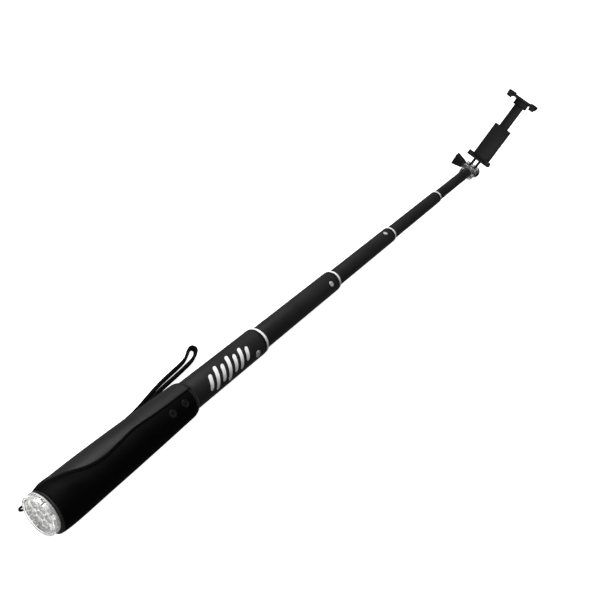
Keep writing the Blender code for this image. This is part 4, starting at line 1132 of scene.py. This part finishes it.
def bolt_hole():
    return drum(BOLT_HOLE, -THROUGH, THROUGH, HINGE, RIGHT)


def build_knuckle():
    """The clear head of the last tube: a collar, a soft block and three prongs."""
    plug = radius_of("tube_5") / MM - 0.65
    outline = rounded([(0, COLLAR_END), (COLLAR_RADIUS, COLLAR_END), (COLLAR_RADIUS, LAST_TUBE_END),
                       (plug, LAST_TUBE_END), (plug, PLUG_START), (0, PLUG_START)], [0, 0, 0.7, 0, 0.3, 0])
    collar = lathe([(r * MM, x * MM) for r, x in outline], frame_matrix(stick_mm(0, 0, 0), X_AXIS), 96)
    y, z = BASE_HALF
    base = rounded([(y, -z), (y, z), (-y, z), (-y, -z)], [BASE_ROUNDING] * 4, 8)
    block = prism(base, *BASE_SPAN, lambda y, x, z: stick_mm(x, y, z), 0.9)
    spans = [(-MIDDLE_PRONG, MIDDLE_PRONG), *both_sides(*OUTER_PRONG)]
    prongs = [prism(prong_outline(PRONG_RADIUS, PRONG_REACH, PRONG_TAIL), low, high, hinge_mm, 0.75)
              for low, high in spans]
    boss = drum(NUT_BOSS_RADIUS, *NUT_BOSS_SPAN, HINGE, RIGHT, 0.6)
    solid = union(collar, block, *prongs, boss)
    pocket = prism(hexagon(NUT_SIZE + 0.2), -THROUGH, NUT_SPAN[1] + 0.1, hinge_mm)
    finish_mesh("knuckle_skin", subtract(solid, pocket, bolt_hole()), SMOKE, "section_5", ["knuckle"],
                40)
    nut = subtract(prism(hexagon(NUT_SIZE), *NUT_SPAN, hinge_mm, 0.35), bolt_hole())
    finish_mesh("nut_skin", nut, OXIDE, "section_5", ["clamp_nut"], 30)


# ---- thumb screw ----
def knob_place(y, x, z):
    return hinge_mm(x, y, z)


def build_thumb_screw():
    """A fan-shaped knob with recessed faces over a ribbed collar, and its threaded bolt."""
    inner, outer = KNOB_SPAN
    low, high = KNOB_HALF_HEIGHTS
    half = KNOB_HALF_THICKNESS
    start = inner + 1.5
    outline = rounded([(start, -low), (outer, -high), (outer, high), (start, low)], [0.8, 1.8, 1.8, 0.8], 5)
    fan = prism(outline, -half, half, knob_place, 0.9)
    boss = drum(low, inner, inner + 3, HINGE, LEFT, 0.4)
    recess = rounded([(inner + 4, 1 - low), (outer - 1.8, 2 - high), (outer - 1.8, high - 2),
                      (inner + 4, low - 1)], [0.7] * 4)
    depth = half - 0.55
    cuts = [prism(recess, *span, knob_place) for span in ((depth, 2 * half), (-2 * half, -depth))]
    cuts.append(drum(2.55, 0, inner + 9, HINGE, LEFT))
    for i in range(12):
        y, z = (low + 0.15) * cos(pi * i / 6), (low + 0.15) * sin(pi * i / 6)
        if abs(y) > 1.5:
            cuts.append(drum(0.4, 0, inner + 1.4, hinge_mm(y, 0, z), LEFT, segments=12))
    finish_mesh("thumb_knob_skin", subtract(union(fan, boss), *cuts), KNOB_BLACK, "thumb_screw",
                ["thumb_knob"], 40)
    thread = [(0, 11.9), (1.9, 11.9), (2.3, 11.6)]
    for i in range(10):
        thread += [(2.5, 11.3 - 0.8 * i), (2.2, 10.9 - 0.8 * i)]
    thread += [(2.5, 3.0), (2.5, -18.0), (0, -18.0)]
    bm = lathe([(r * MM, s * MM) for r, s in thread], frame_matrix(HINGE, RIGHT), 48)
    finish_mesh("clamp_bolt_skin", bm, OXIDE, "thumb_screw", ["clamp_bolt"], 30)


# ---- phone clamp ----
def fork_outline():
    top, face = LOWER_BAR[0] + 0.8, JAW_FRONT + 0.8
    points = [(FORK_RADIUS * cos(radians(a)), FORK_RADIUS * sin(radians(a))) for a in range(180, 361, 9)]
    return [*points, (FORK_RADIUS, top - 3), (8.0, top), (face, top), (face, top - 2.5), (-FORK_RADIUS, 1.5)]


def jaw_lips(half, low, high):
    """The upturned lips at both ends of a jaw."""
    return [rounded_box((JAW_FRONT - STEP, first, low), (LIP_BACK, last, high), 0.6, clamp_mm)
            for first, last in both_sides(half - 7, half - STEP)]


def build_lower_jaw():
    low, high = LOWER_BAR
    bar = rounded_box((JAW_FRONT, -LOWER_HALF, low), (JAW_BACK, LOWER_HALF, high), 0.7, clamp_mm)
    shapes = jaw_lips(LOWER_HALF, low + STEP, 19.5)
    shapes.append(rounded_box((11.6, -RAIL_HALF, low + STEP), (13.0, RAIL_HALF, RAIL_TOP), 0.35, clamp_mm))
    shapes += [prism(fork_outline(), *span, clamp_mm, 0.45) for span in both_sides(*FORK_PRONG)]
    finish_mesh("lower_jaw_skin", subtract(union(bar, *shapes), bolt_hole()), JAW_BLACK, "clamp",
                ["lower_jaw"], 40)


def cross_screw(side):
    """A pan-head screw with a cross recess."""
    origin = clamp_mm(SCREW_HEAD, side, SCREW_HEIGHT)
    outline = [(0, 0.0), (1.2, -0.04), (1.75, -0.16), (2.04, -0.35), (2.04, -0.5), (1.2, -0.5), (1.2, -3.0),
               (0, -3.0)]
    screw = lathe([(r * MM, s * MM) for r, s in outline], frame_matrix(origin, CLAMP_BACK), 40)
    cross = [rounded_box((SCREW_HEAD - 0.25, side - w, SCREW_HEIGHT - h), (20.5, side + w, SCREW_HEIGHT + h),
                         0, clamp_mm) for w, h in ((1.2, 0.22), (0.22, 1.2))]
    return subtract(screw, *cross)


def build_rail_cover():
    """The sliding rail's back, with grip grooves and two cross-head screws."""
    low = LOWER_BAR[0]
    shell = rounded_box((RAIL_FRONT, -RAIL_HALF, low), (RAIL_BACK, RAIL_HALF, RAIL_TOP), 0.9, clamp_mm)
    channel_front, channel_back = RAIL_FRONT - 1, RAIL_BACK - 1.4
    cuts = [rounded_box((channel_front, -half, low + 5), (channel_back, half, high), 0, clamp_mm)
            for half, high in ((RAIL_HALF - 1.4, RAIL_TOP - 1.8), (STEM_HALF + 0.3, RAIL_TOP + 5))]
    for i in range(7):
        height = 27 + 3 * i
        cuts.append(rounded_box((RAIL_BACK - 0.35, -7.5, height), (20.5, 7.5, height + 1.2), 0.3, clamp_mm))
    screws = bmesh.new()
    for side in (-SCREW_Y, SCREW_Y):
        cuts.append(drum(1.3, -3.2, 2, clamp_mm(SCREW_HEAD, side, SCREW_HEIGHT), CLAMP_BACK, segments=32))
        mesh = bpy.data.meshes.new("screw")
        screw = cross_screw(side)
        screw.to_mesh(mesh)
        screw.free()
        screws.from_mesh(mesh)
        bpy.data.meshes.remove(mesh)
    finish_mesh("rail_cover_skin", subtract(shell, *cuts), JAW_BLACK, "clamp", ["rail_cover"],
                40)
    finish_mesh("cover_screws", screws, OXIDE, "clamp", ["cover_screw_1", "cover_screw_2"], 30)


def build_upper_jaw():
    low, high = UPPER_BAR
    bar = rounded_box((JAW_FRONT, -UPPER_HALF, low), (JAW_BACK, UPPER_HALF, high), 0.8, clamp_mm)
    shapes = jaw_lips(UPPER_HALF, low - 2.9, high - STEP)
    shapes += [rounded_box((JAW_FRONT + STEP, first, low + STEP), (JAW_BACK - STEP, last, high + 1.4), 1.25,
                           clamp_mm, 5) for first, last in both_sides(UPPER_HALF - 8.4, UPPER_HALF + STEP)]
    front, back = STEM_SPAN
    shapes += [rounded_box((front, -STEM_HALF, STEM_LOW), (back, STEM_HALF, low), 0.5, clamp_mm),
               rounded_box((11.9, -8.5, low - 6.9), (back + STEP, 8.5, high - STEP), 0.8, clamp_mm),
               rounded_box((front + 0.2, -9.3, STEM_LOW + STEP), (back - 0.2, 9.3, STEM_LOW + 3), 0.3,
                           clamp_mm)]
    grooves = []
    for i in range(10):
        height = STEM_LOW + 8 + 4 * i
        grooves.append(rounded_box((back - 0.35, -4.2, height), (18.5, 4.2, height + 1.2), 0.25, clamp_mm))
    finish_mesh("upper_jaw_skin", subtract(union(bar, *shapes), *grooves), JAW_BLACK, "upper_jaw",
                ["upper_jaw"], 40)


def build_pads():
    """Rubber pads, ribbed where they touch the phone."""
    front, back, rib = -0.6, 11.2, 0.14
    for name, base, touch, body in (("lower", 15.9, 17.5, "clamp"), ("upper", 96.2, 95.4, "upper_jaw")):
        outwards = 1 if touch > base else -1
        wave = [(front + 0.3 + 11.2 * i / 84, touch - outwards * rib * (1 - cos(2 * pi * i / 12)))
                for i in range(85)]
        outline = [(front, base), *wave, (back, base)]
        for word in ("left", "right"):
            node = f"{name}_pad_{word}"
            low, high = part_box(node)
            bm = prism(outline, (low.y - HINGE.y) / MM, (high.y - HINGE.y) / MM, clamp_mm, 0.2, 2)
            finish_mesh(f"{node}_skin", bm, PAD_GREY, body, [node], 50)


def build_springs():
    """The two springs between the stem's shoe and the top of the rail, fixed coils that stay put when the jaw
    moves.
    """
    low, high, a = STEM_LOW + 3.45, RAIL_TOP - 2.25, 15.55
    turns, steps, radius = 8, 192, 1.05
    for number, side in ((1, -7.9), (2, 7.9)):
        points = []
        for i in range(steps + 1):
            angle = 2 * pi * turns * i / steps
            points.append(clamp_mm(a + radius * cos(angle), side + radius * sin(angle),
                                   low + (high - low) * i / steps))
        node = f"clamp_spring_{number}"
        spring = finish_mesh(f"{node}_wire", tube_along(points, 0.25 * MM, 10), SPRING, None, [node],
                             60)
        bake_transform(spring)


# ---- a generic motif in place of the maker's lettering ----
MOTIF_BARS = [(0.0, 5.4), (7.0, 8.2), (14.0, 6.0), (21.0, 8.8), (28.0, 6.2), (35.0, 7.6), (42.0, 5.0)]
MOTIF_START = 139.0
MOTIF_ANGLE = 30.0
MOTIF_SLANT = 0.4
MOTIF_HALF_WIDTH = 1.8


def build_motif():
    """A row of slanted bars printed on the main tube, each with round ends."""
    bm = bmesh.new()
    radius = radius_of("main_tube") + 0.03 * MM
    for start, length in MOTIF_BARS:
        grid = []
        for i in range(13):
            u = MOTIF_HALF_WIDTH * sin(radians(-90 + 15 * i))
            reach = length - MOTIF_HALF_WIDTH + sqrt(MOTIF_HALF_WIDTH ** 2 - u * u)
            column = []
            for k in range(17):
                v = reach * (k - 8) / 8
                offset = around(radius, MOTIF_ANGLE - v * MM / radius * 57.3)
                x = MOTIF_START + start + u + MOTIF_SLANT * v
                column.append(bm.verts.new(on_stick(x * MM, *offset)))
            grid.append(column)
        for one, two in zip(grid, grid[1:]):
            for k in range(16):
                bm.faces.new((one[k], one[k + 1], two[k + 1], two[k]))
    finish_mesh("tube_motif", bm, PRINT_WHITE, "handle", (), 80)


# ---- materials for the CAD nodes that stay ----
def dress_cad():
    kinds = {"black_aluminium": TUBE_BLACK, "black_plastic": PLASTIC_BLACK, "black_metal": OXIDE,
             "white_plastic": WHITE, "grey_plastic": GREY, "grip_rubber": GRIP_SOFT, "panel_rubber": PANEL_SOFT,
             "key_rubber": KEY_SOFT, "pad_rubber": PAD_GREY, "clear_plastic": SMOKE, "chrome": CHROME,
             "rivet_metal": RIVET, "spring_steel": SPRING, "brass": BRASS, "battery_wrap": WRAP,
             "board_green": CIRCUIT, "board_white": BOARD_WHITE, "cable_orange": FILM, "strap_nylon": NYLON}
    slots = {part["node"]: part["material_slot"] for part in frame["record"]["subparts"]}
    for name, node in NODES.items():
        node.data.materials.clear()
        node.data.materials.append(kinds[slots[name]])
        node.data.shade_smooth()
        node.data.set_sharp_from_angle(angle=radians(35))


make_camera()
make_studio()
dress_cad()
build_strap()
build_tubes()
build_grip()
build_panel()
build_buttons()
build_torch()
build_strap_ring()
build_knuckle()
build_thumb_screw()
build_lower_jaw()
build_rail_cover()
build_upper_jaw()
build_pads()
build_springs()
build_motif()
